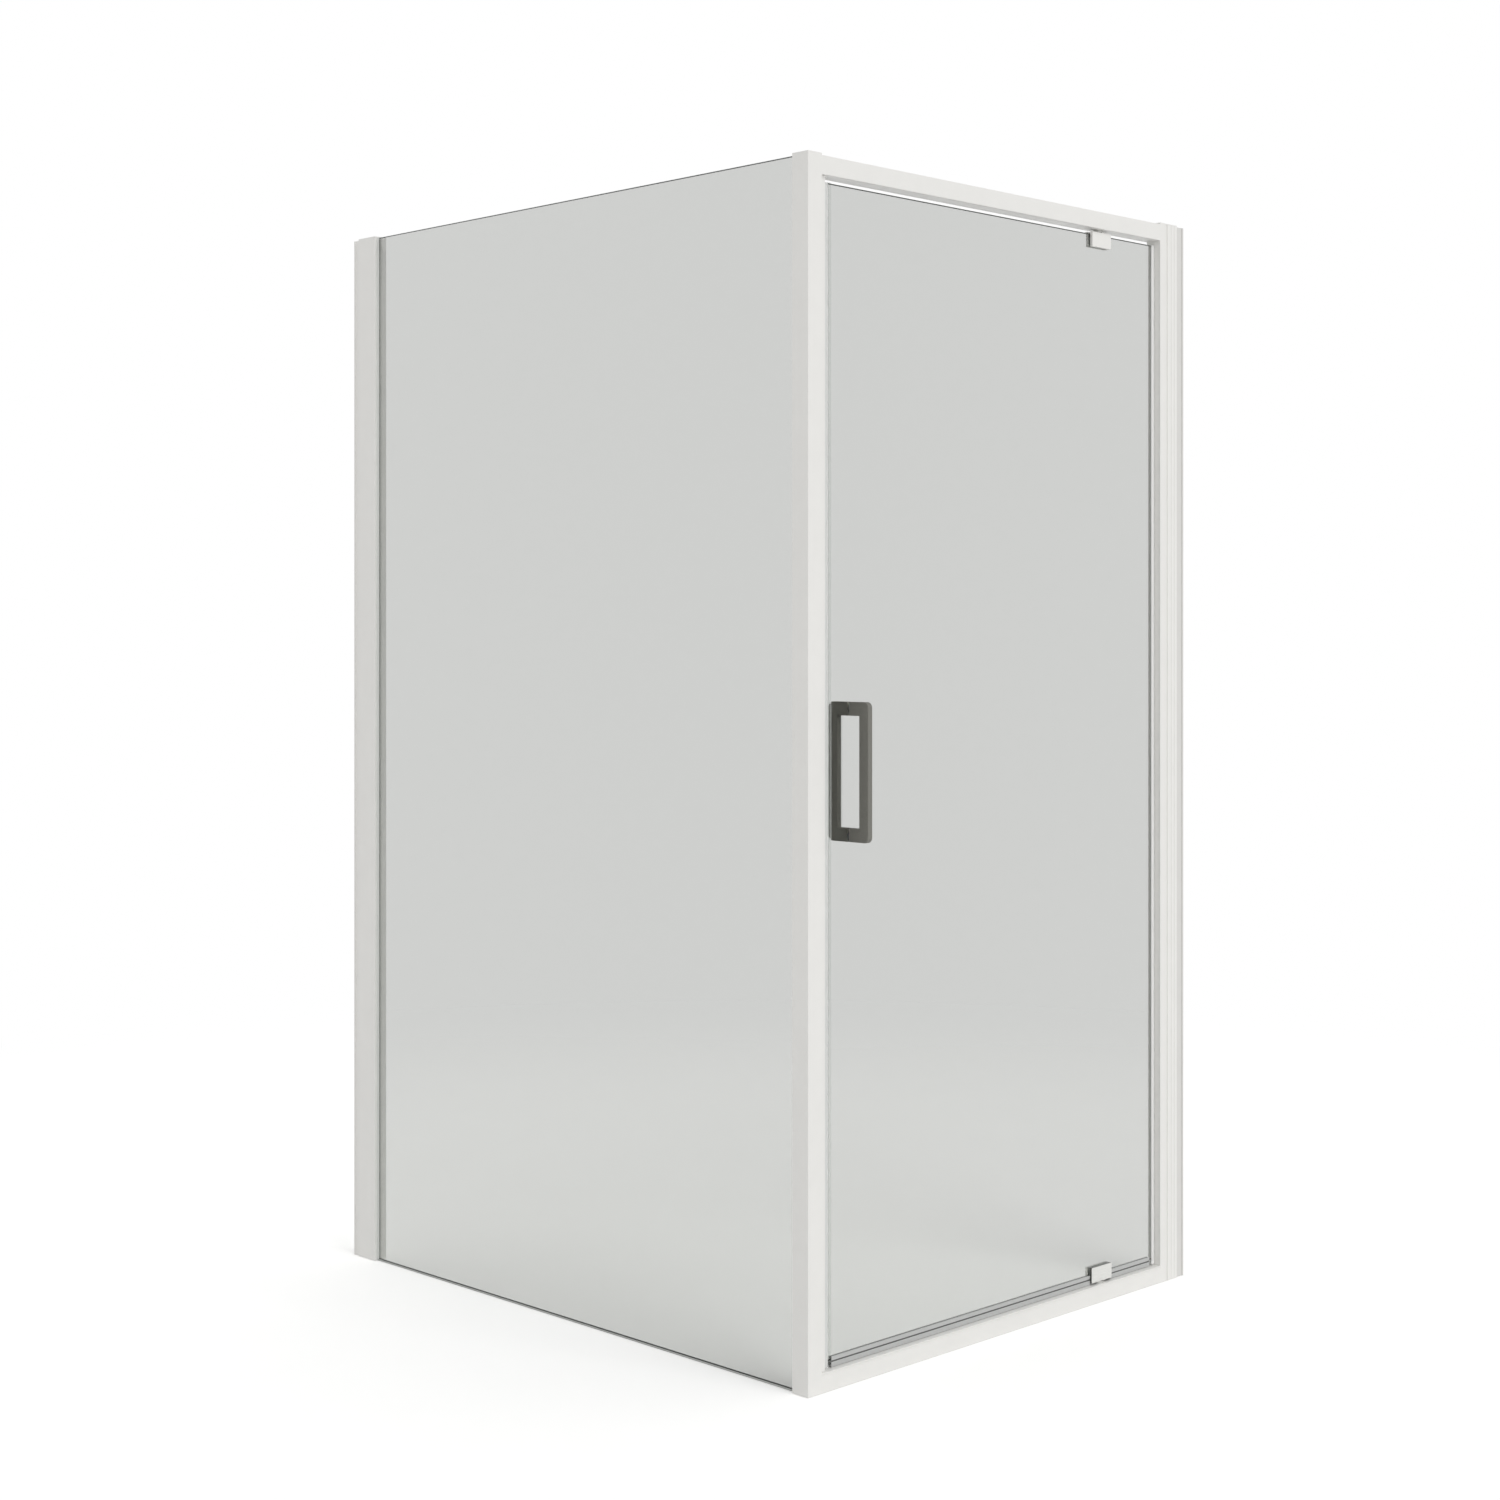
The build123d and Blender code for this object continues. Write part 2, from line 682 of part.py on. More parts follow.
def inner_clamp(end, up, width):
    front = door_glass[1] + clamp_gasket
    back = front + clamp_plate
    plate = block(clamp_x(width), (front, back), clamp_z(end, up, (0, clamp_height)))
    plate = fillet(plate.edges().filter_by(Axis.Y), clamp_corner)
    plate = chamfer(plate.faces().sort_by(Axis.Y)[-1].edges(), clamp_edge)
    room_z = clamp_z(end, up, (0, boss_height + slip_fit))
    plate -= block(clamp_x(boss_width + 2 * slip_fit), (front, boss_back() + slip_fit), room_z)
    for x, z in clamp_screw_places(end, up):
        plate -= rod((x, back, z), (0, -1, 0), clamp_plate, clamp_screw_radius + slip_fit)
        plate -= rod((x, back, z), (0, -1, 0), clamp_screw_head_depth, clamp_screw_head_radius + slip_fit)
    return plate


def clamp_gaskets(end, up, width, overhang):
    """A rubber sheet each side of the glass, cut round the boss and the screws."""
    pieces = []
    reach = (overhang, clamp_height)
    for y in ((door_glass[0] - clamp_gasket, door_glass[0]), (door_glass[1], door_glass[1] + clamp_gasket)):
        sheet = block(clamp_x(width - 2 * gasket_recess), shrunk(y, snug_fit), clamp_z(end, up, reach))
        sheet -= block(clamp_x(boss_width + 2 * notch_gap), y, clamp_z(end, up, (0, boss_height + notch_gap)))
        for x, z in clamp_screw_places(end, up):
            sheet -= rod((x, y[1], z), (0, -1, 0), clamp_gasket, clamp_screw_radius + slip_fit)
        pieces.append(sheet)
    return Compound(children=pieces)


def clamp_screws(end, up):
    pieces = []
    back = door_glass[1] + clamp_gasket + clamp_plate
    tip = door_glass[0] - clamp_gasket - clamp_plate + clamp_screw_skin + slip_fit
    for x, z in clamp_screw_places(end, up):
        head = rod((x, back, z), (0, -1, 0), clamp_screw_head_depth, clamp_screw_head_radius)
        head -= rod((x, back, z), (0, -1, 0), clamp_screw_head_depth / 2, clamp_screw_radius)
        seat = back - clamp_screw_head_depth
        pieces.append(head + rod((x, seat, z), (0, -1, 0), seat - tip, clamp_screw_radius))
    return Compound(children=pieces)


def pivot_bush(end, up):
    bush = rod((pivot_x, pivot_y, end), (0, 0, up), bush_length, bush_radius())
    bore_length = pin_engagement + thrust_gap
    return bush - rod((pivot_x, pivot_y, end), (0, 0, up), bore_length, pin_radius + running_fit)


# Door glass, with a notch at each pivot and holes for clamp screws and handle studs
def clamp_ends():
    """Each clamp's outer end and the direction from it into the door."""
    return ((bottom_clamp_end, 1), (top_clamp_end, -1))


def stud_heights():
    return (handle_z[0] + handle_leg_height / 2, handle_z[1] - handle_leg_height / 2)


def glass_holes():
    """Each hole through the door glass: its place along the door, its height and what passes through it."""
    holes = []
    for end, up in clamp_ends():
        holes += [(x, z, clamp_screw_radius) for x, z in clamp_screw_places(end, up)]
    middle = (handle_x[0] + handle_x[1]) / 2
    return holes + [(middle, z, stud_radius) for z in stud_heights()]


def door_glass_pane():
    pane = block((glass_free_edge, glass_hinge_edge), door_glass, (glass_bottom, glass_top))
    pane = chamfer(pane.edges(), glass_arris)
    for end, up in clamp_ends():
        notch_z = clamp_z(end, up, (0, boss_height + notch_gap))
        pane -= block(clamp_x(boss_width + 2 * notch_gap), door_glass, notch_z)
    for x, z, radius in glass_holes():
        hole = radius + snug_fit + sleeve_wall + glass_hole_gap
        pane -= rod((x, door_glass[1], z), (0, -1, 0), glass_thickness, hole)
    return pane


def glass_hole_sleeves():
    pieces = []
    for x, z, radius in glass_holes():
        bore = radius + snug_fit
        sleeve = rod((x, door_glass[1], z), (0, -1, 0), glass_thickness, bore + sleeve_wall)
        pieces.append(sleeve - rod((x, door_glass[1], z), (0, -1, 0), glass_thickness, bore))
    return Compound(children=pieces)


# Handles
def handle(face, out):
    """A flat-bar D handle on one face of the glass; out is -1 outside and +1 inside."""
    foot = face + out * handle_pad
    tip = face + out * handle_projection
    y = tuple(sorted((foot, tip)))
    grip = tip - out * handle_grip_depth
    bar = block(handle_x, y, handle_z)
    corners = [(None, tip, z) for z in handle_z]
    bar = fillet(edges_through(bar, Axis.X, corners), handle_corner_radius)
    gap = block(handle_x, tuple(sorted((foot, grip))), shrunk(handle_z, handle_leg_height))
    bar -= gap
    sides = [e for e in bar.edges() if abs(e.center().Y - foot) > snug_fit and not e.is_interior]
    long_sides = [e for e in sides if abs(e.bounding_box().size.X) < snug_fit]
    bar = fillet(long_sides, handle_edge_round)
    middle = (handle_x[0] + handle_x[1]) / 2
    for z in stud_heights():
        bar -= rod((middle, foot, z), (0, out, 0), stud_bite, stud_radius + snug_fit)
    return bar


def inner_handle():
    """The inner handle also has a side hole in each foot, for the grub screw that holds its stud."""
    bar = handle(door_glass[1], 1)
    for x, y, z in grub_places():
        bar -= rod((x, y, z), (-1, 0, 0), grub_length, grub_radius + snug_fit)
    return bar


def grub_places():
    y = door_glass[1] + handle_pad + stud_bite / 2
    return [(handle_x[1], y, z) for z in stud_heights()]


def handle_grub_screws():
    """Grub screws, each ending on its stud."""
    pieces = []
    length = handle_thickness / 2 - stud_radius - snug_fit
    for x, y, z in grub_places():
        pieces.append(rod((x, y, z), (-1, 0, 0), length, grub_radius))
    return Compound(children=pieces)


def handle_studs():
    middle = (handle_x[0] + handle_x[1]) / 2
    start = door_glass[0] - handle_pad - stud_bite + slip_fit
    length = glass_thickness + 2 * (handle_pad + stud_bite - slip_fit)
    studs = [rod((middle, start, z), (0, 1, 0), length, stud_radius) for z in stud_heights()]
    return Compound(children=studs)


def handle_pads():
    """Nylon pads between each handle foot and the glass."""
    pieces = []
    middle = (handle_x[0] + handle_x[1]) / 2
    for face, out in ((door_glass[0], -1), (door_glass[1], 1)):
        y = shrunk(tuple(sorted((face, face + out * handle_pad))), snug_fit)
        for z in stud_heights():
            reach = handle_leg_height / 2 - gasket_recess
            pad = block(shrunk(handle_x, gasket_recess), y, (z - reach, z + reach))
            pieces.append(pad - rod((middle, y[0], z), (0, 1, 0), handle_pad, stud_radius + snug_fit))
    return Compound(children=pieces)


# Every piece by its name
post_gasket_run = (post_depth - glazing_channel_depth, post_depth - gasket_recess)
jamb_gasket_run = (side_jamb_face + gasket_recess, side_jamb_face + glazing_channel_depth)
gasket_height = (side_seal_base, profile_top)

pieces = {
    "corner_post": corner_post(),
    "post_cap": post_cap(),
    "post_glass_gaskets": glazing_gaskets(post_gasket_run, gasket_height),
    "side_glass": side_glass_pane(),
    "side_bottom_seal": side_bottom_seal(),
    "side_jamb": side_jamb(),
    "side_jamb_cap": jamb_cap("side", side_jamb_standoff),
    "side_jamb_gaskets": glazing_gaskets(jamb_gasket_run, gasket_height),
    "side_wall_channel": wall_channel("side", side_jamb_standoff),
    "door_wall_channel": wall_channel("door", door_jamb_standoff),
    "hinge_jamb": hinge_jamb(),
    "hinge_jamb_cap": jamb_cap("door", door_jamb_standoff),
    "channel_screws": on_both_channels(channel_screw),
    "channel_screw_caps": on_both_channels(channel_screw_cap),
    "top_rail": top_rail(),
    "bottom_sill": bottom_sill(),
    "corner_blocks": corner_blocks(),
    "corner_block_screws": corner_block_screws(),
    "top_pivot_block": pivot_block(rail_chamber, rail_screw_height(), rail_bottom, (0, 0, 1)),
    "bottom_pivot_block": pivot_block(sill_chamber, sill_screw_height(), sill_height, (0, 0, -1)),
    "pivot_block_screws": pivot_block_screws(),
    "top_pivot_pin": top_pivot_pin(),
    "bottom_pivot_pin": bottom_pivot_pin(),
    "strike_profile": strike_profile(),
    "strike_magnet": strike_magnet(),
    "door_glass": door_glass_pane(),
    "magnet_seal": magnet_seal(),
    "door_magnet": door_magnet(),
    "hinge_edge_seal": hinge_edge_seal(),
    "drip_seals": drip_seals(),
    "glass_hole_sleeves": glass_hole_sleeves(),
    "outer_handle": handle(door_glass[0], -1),
    "inner_handle": inner_handle(),
    "handle_studs": handle_studs(),
    "handle_grub_screws": handle_grub_screws(),
    "handle_pads": handle_pads(),
}
clamp_sizes = ((bottom_clamp_width, bottom_clamp_overhang), (top_clamp_width, top_clamp_overhang))
for name, (end, up), (width, overhang) in zip(("bottom", "top"), clamp_ends(), clamp_sizes):
    pieces[name + "_clamp_outer"] = outer_clamp(end, up, width)
    pieces[name + "_clamp_inner"] = inner_clamp(end, up, width)
    pieces[name + "_clamp_gaskets"] = clamp_gaskets(end, up, width, overhang)
    pieces[name + "_clamp_screws"] = clamp_screws(end, up)
    pieces[name + "_pivot_bush"] = pivot_bush(end, up)

os.makedirs("parts", exist_ok=True)
for name, piece in pieces.items():
    export_step(piece, "parts/" + name + ".step")
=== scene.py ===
import math

import bmesh
import bpy
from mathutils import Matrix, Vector


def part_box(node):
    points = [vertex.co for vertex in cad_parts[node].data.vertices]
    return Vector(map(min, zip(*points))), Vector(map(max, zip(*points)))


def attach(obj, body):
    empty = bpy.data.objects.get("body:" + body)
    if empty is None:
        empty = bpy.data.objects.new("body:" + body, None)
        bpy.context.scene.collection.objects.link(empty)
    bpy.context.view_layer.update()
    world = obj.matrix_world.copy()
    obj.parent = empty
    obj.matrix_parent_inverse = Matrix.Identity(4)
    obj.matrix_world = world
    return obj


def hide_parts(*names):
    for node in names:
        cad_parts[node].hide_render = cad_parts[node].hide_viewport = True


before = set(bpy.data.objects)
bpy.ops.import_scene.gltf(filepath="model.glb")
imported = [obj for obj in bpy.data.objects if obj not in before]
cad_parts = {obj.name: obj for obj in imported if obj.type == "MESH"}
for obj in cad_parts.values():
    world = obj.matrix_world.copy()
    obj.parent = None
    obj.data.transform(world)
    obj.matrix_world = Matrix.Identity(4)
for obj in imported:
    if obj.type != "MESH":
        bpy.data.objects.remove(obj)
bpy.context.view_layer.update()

# Studio: a pale matt floor that fades into white, an even white sky and one soft sun from the
# right front. The camera stands level at chest height, 45 degrees off both glass sides.


def linear(colour):
    """An sRGB hex colour as the linear RGBA that a shader takes."""
    parts = [int(colour[i : i + 2], 16) / 255 for i in (1, 3, 5)]
    return [c / 12.92 if c <= 0.04045 else ((c + 0.055) / 1.055) ** 2.4 for c in parts] + [1]


def add(tree, kind, settings=None, values=None, links=None):
    """Adds a node with its settings, its sockets' values and the sockets that feed it."""
    node = tree.nodes.new(kind)
    for name, value in (settings or {}).items():
        setattr(node, name, value)
    for socket, value in (values or {}).items():
        node.inputs[socket].default_value = value
    for socket, source in (links or {}).items():
        tree.links.new(source, node.inputs[socket])
    return node


def material(name):
    """A new material with an empty tree, and its object coordinates."""
    made = bpy.data.materials.new(name)
    made.use_nodes = True
    made.node_tree.nodes.clear()
    place = add(made.node_tree, "ShaderNodeTexCoord").outputs["Object"]
    return made, made.node_tree, place


def background_rays(tree):
    """1 for rays that meet plain white: from the eye, off metal or through glass."""
    path = add(tree, "ShaderNodeLightPath")
    off = {"operation": "MAXIMUM"}
    eye, metal = path.outputs["Is Camera Ray"], path.outputs["Is Glossy Ray"]
    seen = add(tree, "ShaderNodeMath", off, links={0: eye, 1: metal})
    through = path.outputs["Is Transmission Ray"]
    return add(tree, "ShaderNodeMath", off, links={0: seen.outputs[0], 1: through}).outputs[0]


sky_light = 0.64
sun_light = 0.92
sun_blur = 35
sun_direction = (0.05, 0.75, -0.66)
world = bpy.data.worlds.new("even_white_sky")
bpy.context.scene.world = world
world.use_nodes = True
sky = world.node_tree
sky.nodes.clear()
lit = add(sky, "ShaderNodeBackground", values={"Color": linear("#FFFFFF"), "Strength": sky_light})
shown = add(sky, "ShaderNodeBackground", values={"Color": linear("#FFFFFF"), "Strength": 1.0})
seen = background_rays(sky)
sky_mix = add(sky, "ShaderNodeMixShader", links={0: seen, 1: lit.outputs[0], 2: shown.outputs[0]})
add(sky, "ShaderNodeOutputWorld", links={"Surface": sky_mix.outputs[0]})

sun_data = bpy.data.lights.new("soft_sun", "SUN")
sun_data.energy = sun_light
sun_data.angle = math.radians(sun_blur)
sun = bpy.data.objects.new("soft_sun", sun_data)
bpy.context.scene.collection.objects.link(sun)
sun.rotation_euler = Vector(sun_direction).to_track_quat("-Z", "Y").to_euler()

# The floor lies half a millimetre under the screen's foot, so that no two faces coincide.
floor_radius = 60
floor_centre = (0.5, 0.6)
under_foot = -0.0005
fade_from, fade_to = 1.4, 3.2
floor_lift = 0.27
floor_paint, tree, place = material("matt_studio_floor")
reach = add(tree, "ShaderNodeVectorMath", {"operation": "LENGTH"}, links={0: place})
fade = add(
    tree,
    "ShaderNodeMapRange",
    {"interpolation_type": "SMOOTHSTEP"},
    {"From Min": fade_from, "From Max": fade_to},
    {"Value": reach.outputs["Value"]},
)
seen = background_rays(tree)
product = {"operation": "MULTIPLY"}
fade_seen = add(tree, "ShaderNodeMath", product, links={0: fade.outputs[0], 1: seen})
lift = add(tree, "ShaderNodeMath", product, {1: floor_lift}, {0: seen})
rolled = add(tree, "ShaderNodeTexNoise", values={"Scale": 6.0}, links={"Vector": place})
tone = add(
    tree,
    "ShaderNodeMix",
    {"data_type": "RGBA"},
    {"A": linear("#FBFBFA"), "B": linear("#F8F8F7")},
    {"Factor": rolled.outputs[0]},
)
matt = add(
    tree,
    "ShaderNodeBsdfPrincipled",
    values={"Roughness": 0.9, "Emission Color": linear("#FFFFFF")},
    links={"Base Color": tone.outputs["Result"], "Emission Strength": lift.outputs[0]},
)
glow = add(tree, "ShaderNodeEmission", values={"Color": linear("#FFFFFF"), "Strength": 1.0})
floor_mix = add(
    tree,
    "ShaderNodeMixShader",
    links={0: fade_seen.outputs[0], 1: matt.outputs[0], 2: glow.outputs[0]},
)
add(tree, "ShaderNodeOutputMaterial", links={"Surface": floor_mix.outputs[0]})

disc = bmesh.new()
bmesh.ops.create_circle(disc, cap_ends=True, segments=96, radius=floor_radius)
floor_data = bpy.data.meshes.new("floor")
disc.to_mesh(floor_data)
disc.free()
floor = bpy.data.objects.new("floor", floor_data)
floor.location = (*floor_centre, under_foot)
floor_data.materials.append(floor_paint)
bpy.context.scene.collection.objects.link(floor)

camera_data = bpy.data.cameras.new("camera")
camera_data.sensor_width = 36.0
camera_data.lens = 57.064
camera_data.shift_y = -0.079
camera_data.clip_end = 200
camera = bpy.data.objects.new("camera", camera_data)
camera.location = (-2.6555, -2.5481, 1.1868)
camera.rotation_euler = (math.radians(90), 0, math.radians(-44.781))
bpy.context.scene.collection.objects.link(camera)
bpy.context.scene.camera = camera
bpy.context.scene.view_settings.view_transform = "Standard"

# Fixing channels and jambs: hollow extrusions of 6063 aluminium, polyester powder coated white. A
# channel is screwed up at each end, and the jamb's tongue slides in it to take up what isn't plumb.
# The coat is satin, with the faint orange peel of melted powder, which softens its highlights.


def coat_nodes(coat, *names):
    """Gives CAD nodes their finish."""
    for name in names:
        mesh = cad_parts[name].data
        mesh.materials.clear()
        mesh.materials.append(coat)


def powder_coated(name, light, dark):
    """Satin powder coat. The peel's waves are about 2 mm, and its thickness clouds over 40 mm."""
    made, tree, place = material(name)
    waves = {"Scale": 1000 / 2.0, "Detail": 1.0}
    peel = add(tree, "ShaderNodeTexNoise", values=waves, links={"Vector": place})
    clouds = {"Scale": 1000 / 40.0, "Detail": 3.0}
    cloud = add(tree, "ShaderNodeTexNoise", values=clouds, links={"Vector": place})
    tone = add(
        tree,
        "ShaderNodeMix",
        {"data_type": "RGBA"},
        {"A": linear(light), "B": linear(dark)},
        {"Factor": cloud.outputs[0]},
    )
    gloss = add(
        tree,
        "ShaderNodeMapRange",
        values={"To Min": 0.33, "To Max": 0.43},
        links={"Value": cloud.outputs[0]},
    )
    relief = {"Strength": 1.0, "Distance": 0.000006}
    skin = add(tree, "ShaderNodeBump", values=relief, links={"Height": peel.outputs[0]})
    coat = add(
        tree,
        "ShaderNodeBsdfPrincipled",
        values={"IOR": 1.5},
        links={
            "Base Color": tone.outputs["Result"],
            "Roughness": gloss.outputs[0],
            "Normal": skin.outputs[0],
        },
    )
    add(tree, "ShaderNodeOutputMaterial", links={"Surface": coat.outputs[0]})
    return made


white_coat = powder_coated("white_powder_coat_on_aluminium", "#EFEEEB", "#EAE9E6")
coat_nodes(white_coat, "side_wall_channel", "side_jamb", "hinge_jamb")

# The photo shows the door's channel a tone greyer than the jamb that it holds. That grey is painted
# shade: the channel has the jamb's white coat, painted a tone darker.
shaded_white_coat = powder_coated("white_powder_coat_with_painted_shade", "#DEDDDA", "#D9D8D5")
coat_nodes(shaded_white_coat, "door_wall_channel")

# Jamb and post caps, and the snap covers over the channel screws: injection moulded in white ABS.
# Spark-eroded moulds leave a fine matt grain of about 0.3 mm, drawn here at 0.9 mm so that it shows.
white_abs, tree, place = material("moulded_white_abs")
pits = add(
    tree, "ShaderNodeTexVoronoi", {"feature": "SMOOTH_F1"}, {"Scale": 1000 / 0.9}, {"Vector": place}
)
flow_marks = {"Scale": 1000 / 12.0, "Detail": 2.0}
flow = add(tree, "ShaderNodeTexNoise", values=flow_marks, links={"Vector": place})
tone = add(
    tree,
    "ShaderNodeMix",
    {"data_type": "RGBA"},
    {"A": linear("#EEEDEA"), "B": linear("#E8E7E4")},
    {"Factor": flow.outputs[0]},
)
relief = {"Strength": 0.7, "Distance": 0.00002}
grain = add(tree, "ShaderNodeBump", values=relief, links={"Height": pits.outputs["Distance"]})
shell = add(
    tree,
    "ShaderNodeBsdfPrincipled",
    values={"Roughness": 0.55, "IOR": 1.54},
    links={"Base Color": tone.outputs["Result"], "Normal": grain.outputs[0]},
)
add(tree, "ShaderNodeOutputMaterial", links={"Surface": shell.outputs[0]})
coat_nodes(white_abs, "side_jamb_cap", "hinge_jamb_cap", "post_cap", "channel_screw_caps")

# Channel screws: six pan-head screws of zinc-plated steel with a hexagon socket, three up each
# channel, driven from the inner side through the channel's leg into the jamb's tongue. Bright zinc
# has a cold grey shine, faintly clouded where the plating is thicker.
zinc_steel, tree, place = material("zinc_plated_steel")
crystals = {"Scale": 1000 / 1.5, "Detail": 3.0}
spangle = add(tree, "ShaderNodeTexNoise", values=crystals, links={"Vector": place})
tone = add(
    tree,
    "ShaderNodeMix",
    {"data_type": "RGBA"},
    {"A": linear("#C9CBCC"), "B": linear("#AFB1B3")},
    {"Factor": spangle.outputs[0]},
)
gloss_range = {"To Min": 0.22, "To Max": 0.42}
gloss = add(tree, "ShaderNodeMapRange", values=gloss_range, links={"Value": spangle.outputs[0]})
plating = add(
    tree,
    "ShaderNodeBsdfPrincipled",
    values={"Metallic": 1.0},
    links={"Base Color": tone.outputs["Result"], "Roughness": gloss.outputs[0]},
)
add(tree, "ShaderNodeOutputMaterial", links={"Surface": plating.outputs[0]})


def node_group(name, inputs):
    """A Geometry Nodes tree with named inputs and one mesh out."""
    tree = bpy.data.node_groups.new(name, "GeometryNodeTree")
    for label, kind in inputs.items():
        tree.interface.new_socket(label, in_out="INPUT", socket_type="NodeSocket" + kind)
    tree.interface.new_socket("Mesh", in_out="OUTPUT", socket_type="NodeSocketGeometry")
    return tree, add(tree, "NodeGroupInput").outputs


weld_distance = 0.000001


def end_tree(tree, shapes, given):
    """Joins the shapes, makes them real and gives them their material."""
    joined = add(tree, "GeometryNodeJoinGeometry")
    for shape in shapes:
        tree.links.new(shape, joined.inputs[0])
    reach = {"Distance": weld_distance}
    welded = add(tree, "GeometryNodeMergeByDistance", values=reach, links={0: joined.outputs[0]})
    real = add(tree, "GeometryNodeRealizeInstances", links={0: welded.outputs[0]})
    coat = {"Geometry": real.outputs[0], "Material": given["Material"]}
    coated = add(tree, "GeometryNodeSetMaterial", links=coat)
    add(tree, "NodeGroupOutput", links={0: coated.outputs[0]})


def grown(tree, source, values):
    """The mesh that a tree makes of its source, for bmesh."""
    seed = bpy.data.objects.new("seed", source)
    bpy.context.scene.collection.objects.link(seed)
    growth = seed.modifiers.new("growth", "NODES")
    growth.node_group = tree
    for item in tree.interface.items_tree:
        if item.name in values:
            growth[item.identifier] = values[item.name]
    ready = seed.evaluated_get(bpy.context.evaluated_depsgraph_get())
    mesh = bpy.data.meshes.new_from_object(ready)
    bpy.data.objects.remove(seed)
    shape = bmesh.new()
    shape.from_mesh(mesh)
    for face in shape.faces:
        face.material_index = 0
    return shape


sharp_angle = 32


def finished(name, shape, coats, body, slot, *replaced):
    """Turns a closed bmesh into a finished piece that stands for CAD nodes."""
    bmesh.ops.remove_doubles(shape, verts=shape.verts, dist=weld_distance)
    bmesh.ops.recalc_face_normals(shape, faces=shape.faces)
    data = bpy.data.meshes.new(name)
    shape.to_mesh(data)
    shape.free()
    for coat in coats:
        data.materials.append(coat)
    data.shade_smooth()
    data.set_sharp_from_angle(angle=math.radians(sharp_angle))
    piece = bpy.data.objects.new(name, data)
    bpy.context.scene.collection.objects.link(piece)
    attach(piece, body)
    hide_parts(*replaced)


crown_share = 0.84
screw_tree, given = node_group(
    "socket_screws_on_their_seats",
    {
        "Seats": "Geometry",
        "Head Radius": "Float",
        "Head Height": "Float",
        "Shank Radius": "Float",
        "Socket Radius": "Float",
        "Socket Depth": "Float",
        "Material": "Material",
    },
)
crown = add(screw_tree, "ShaderNodeMath", product, {1: crown_share}, {0: given["Head Radius"]})
head = add(
    screw_tree,
    "GeometryNodeMeshCone",
    values={"Vertices": 36},
    links={
        "Radius Top": crown.outputs[0],
        "Radius Bottom": given["Head Radius"],
        "Depth": given["Head Height"],
    },
)
twice = add(screw_tree, "ShaderNodeMath", product, {1: 2.0}, {0: given["Socket Depth"]})
key = add(
    screw_tree,
    "GeometryNodeMeshCylinder",
    values={"Vertices": 6},
    links={"Radius": given["Socket Radius"], "Depth": twice.outputs[0]},
)
lifted = add(screw_tree, "ShaderNodeCombineXYZ", links={"Z": given["Head Height"]})
key_up = add(
    screw_tree,
    "GeometryNodeTransform",
    links={"Geometry": key.outputs["Mesh"], "Translation": lifted.outputs[0]},
)
socketed = add(
    screw_tree,
    "GeometryNodeMeshBoolean",
    {"operation": "DIFFERENCE"},
    links={"Mesh 1": head.outputs["Mesh"], "Mesh 2": key_up.outputs[0]},
)
shank = add(
    screw_tree,
    "GeometryNodeMeshCylinder",
    values={"Vertices": 20, "Depth": 1.0},
    links={"Radius": given["Shank Radius"]},
)
shank_down = add(
    screw_tree,
    "GeometryNodeTransform",
    values={"Translation": (0, 0, -0.5)},
    links={"Geometry": shank.outputs["Mesh"]},
)
vector, number = {"data_type": "FLOAT_VECTOR"}, {"data_type": "FLOAT"}
outward = add(screw_tree, "GeometryNodeInputNamedAttribute", vector, {"Name": "outward"})
depth = add(screw_tree, "GeometryNodeInputNamedAttribute", number, {"Name": "depth"})
turned = add(
    screw_tree,
    "FunctionNodeAlignRotationToVector",
    {"axis": "Z"},
    links={"Vector": outward.outputs[0]},
)
stretch = add(
    screw_tree, "ShaderNodeCombineXYZ", values={"X": 1.0, "Y": 1.0}, links={"Z": depth.outputs[0]}
)
heads = add(
    screw_tree,
    "GeometryNodeInstanceOnPoints",
    links={
        "Points": given["Seats"],
        "Instance": socketed.outputs[0],
        "Rotation": turned.outputs[0],
    },
)
shanks = add(
    screw_tree,
    "GeometryNodeInstanceOnPoints",
    links={
        "Points": given["Seats"],
        "Instance": shank_down.outputs[0],
        "Rotation": turned.outputs[0],
        "Scale": stretch.outputs[0],
    },
)
end_tree(screw_tree, (heads.outputs[0], shanks.outputs[0]), given)


def screws(name, node, body, seats, head, shank, socket):
    """Screws on seats of (place, way out, depth). head and socket are (radius, height). All in mm."""
    points = bpy.data.meshes.new("seats")
    points.from_pydata([[c / 1000 for c in spot] for spot, _, _ in seats], [], [])
    ways = points.attributes.new("outward", "FLOAT_VECTOR", "POINT")
    ways.data.foreach_set("vector", [c for _, way, _ in seats for c in way])
    depths = points.attributes.new("depth", "FLOAT", "POINT")
    depths.data.foreach_set("value", [deep / 1000 for _, _, deep in seats])
    values = {
        "Head Radius": head[0] / 1000,
        "Head Height": head[1] / 1000,
        "Shank Radius": shank / 1000,
        "Socket Radius": socket[0] / 1000,
        "Socket Depth": socket[1] / 1000,
        "Material": zinc_steel,
    }
    finished(name, grown(screw_tree, points, values), [zinc_steel], body, "screw_steel", node)


def span(node, axis):
    """From where to where a CAD node reaches along an axis, in mm."""
    return [corner["xyz".index(axis)] * 1000 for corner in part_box(node)]


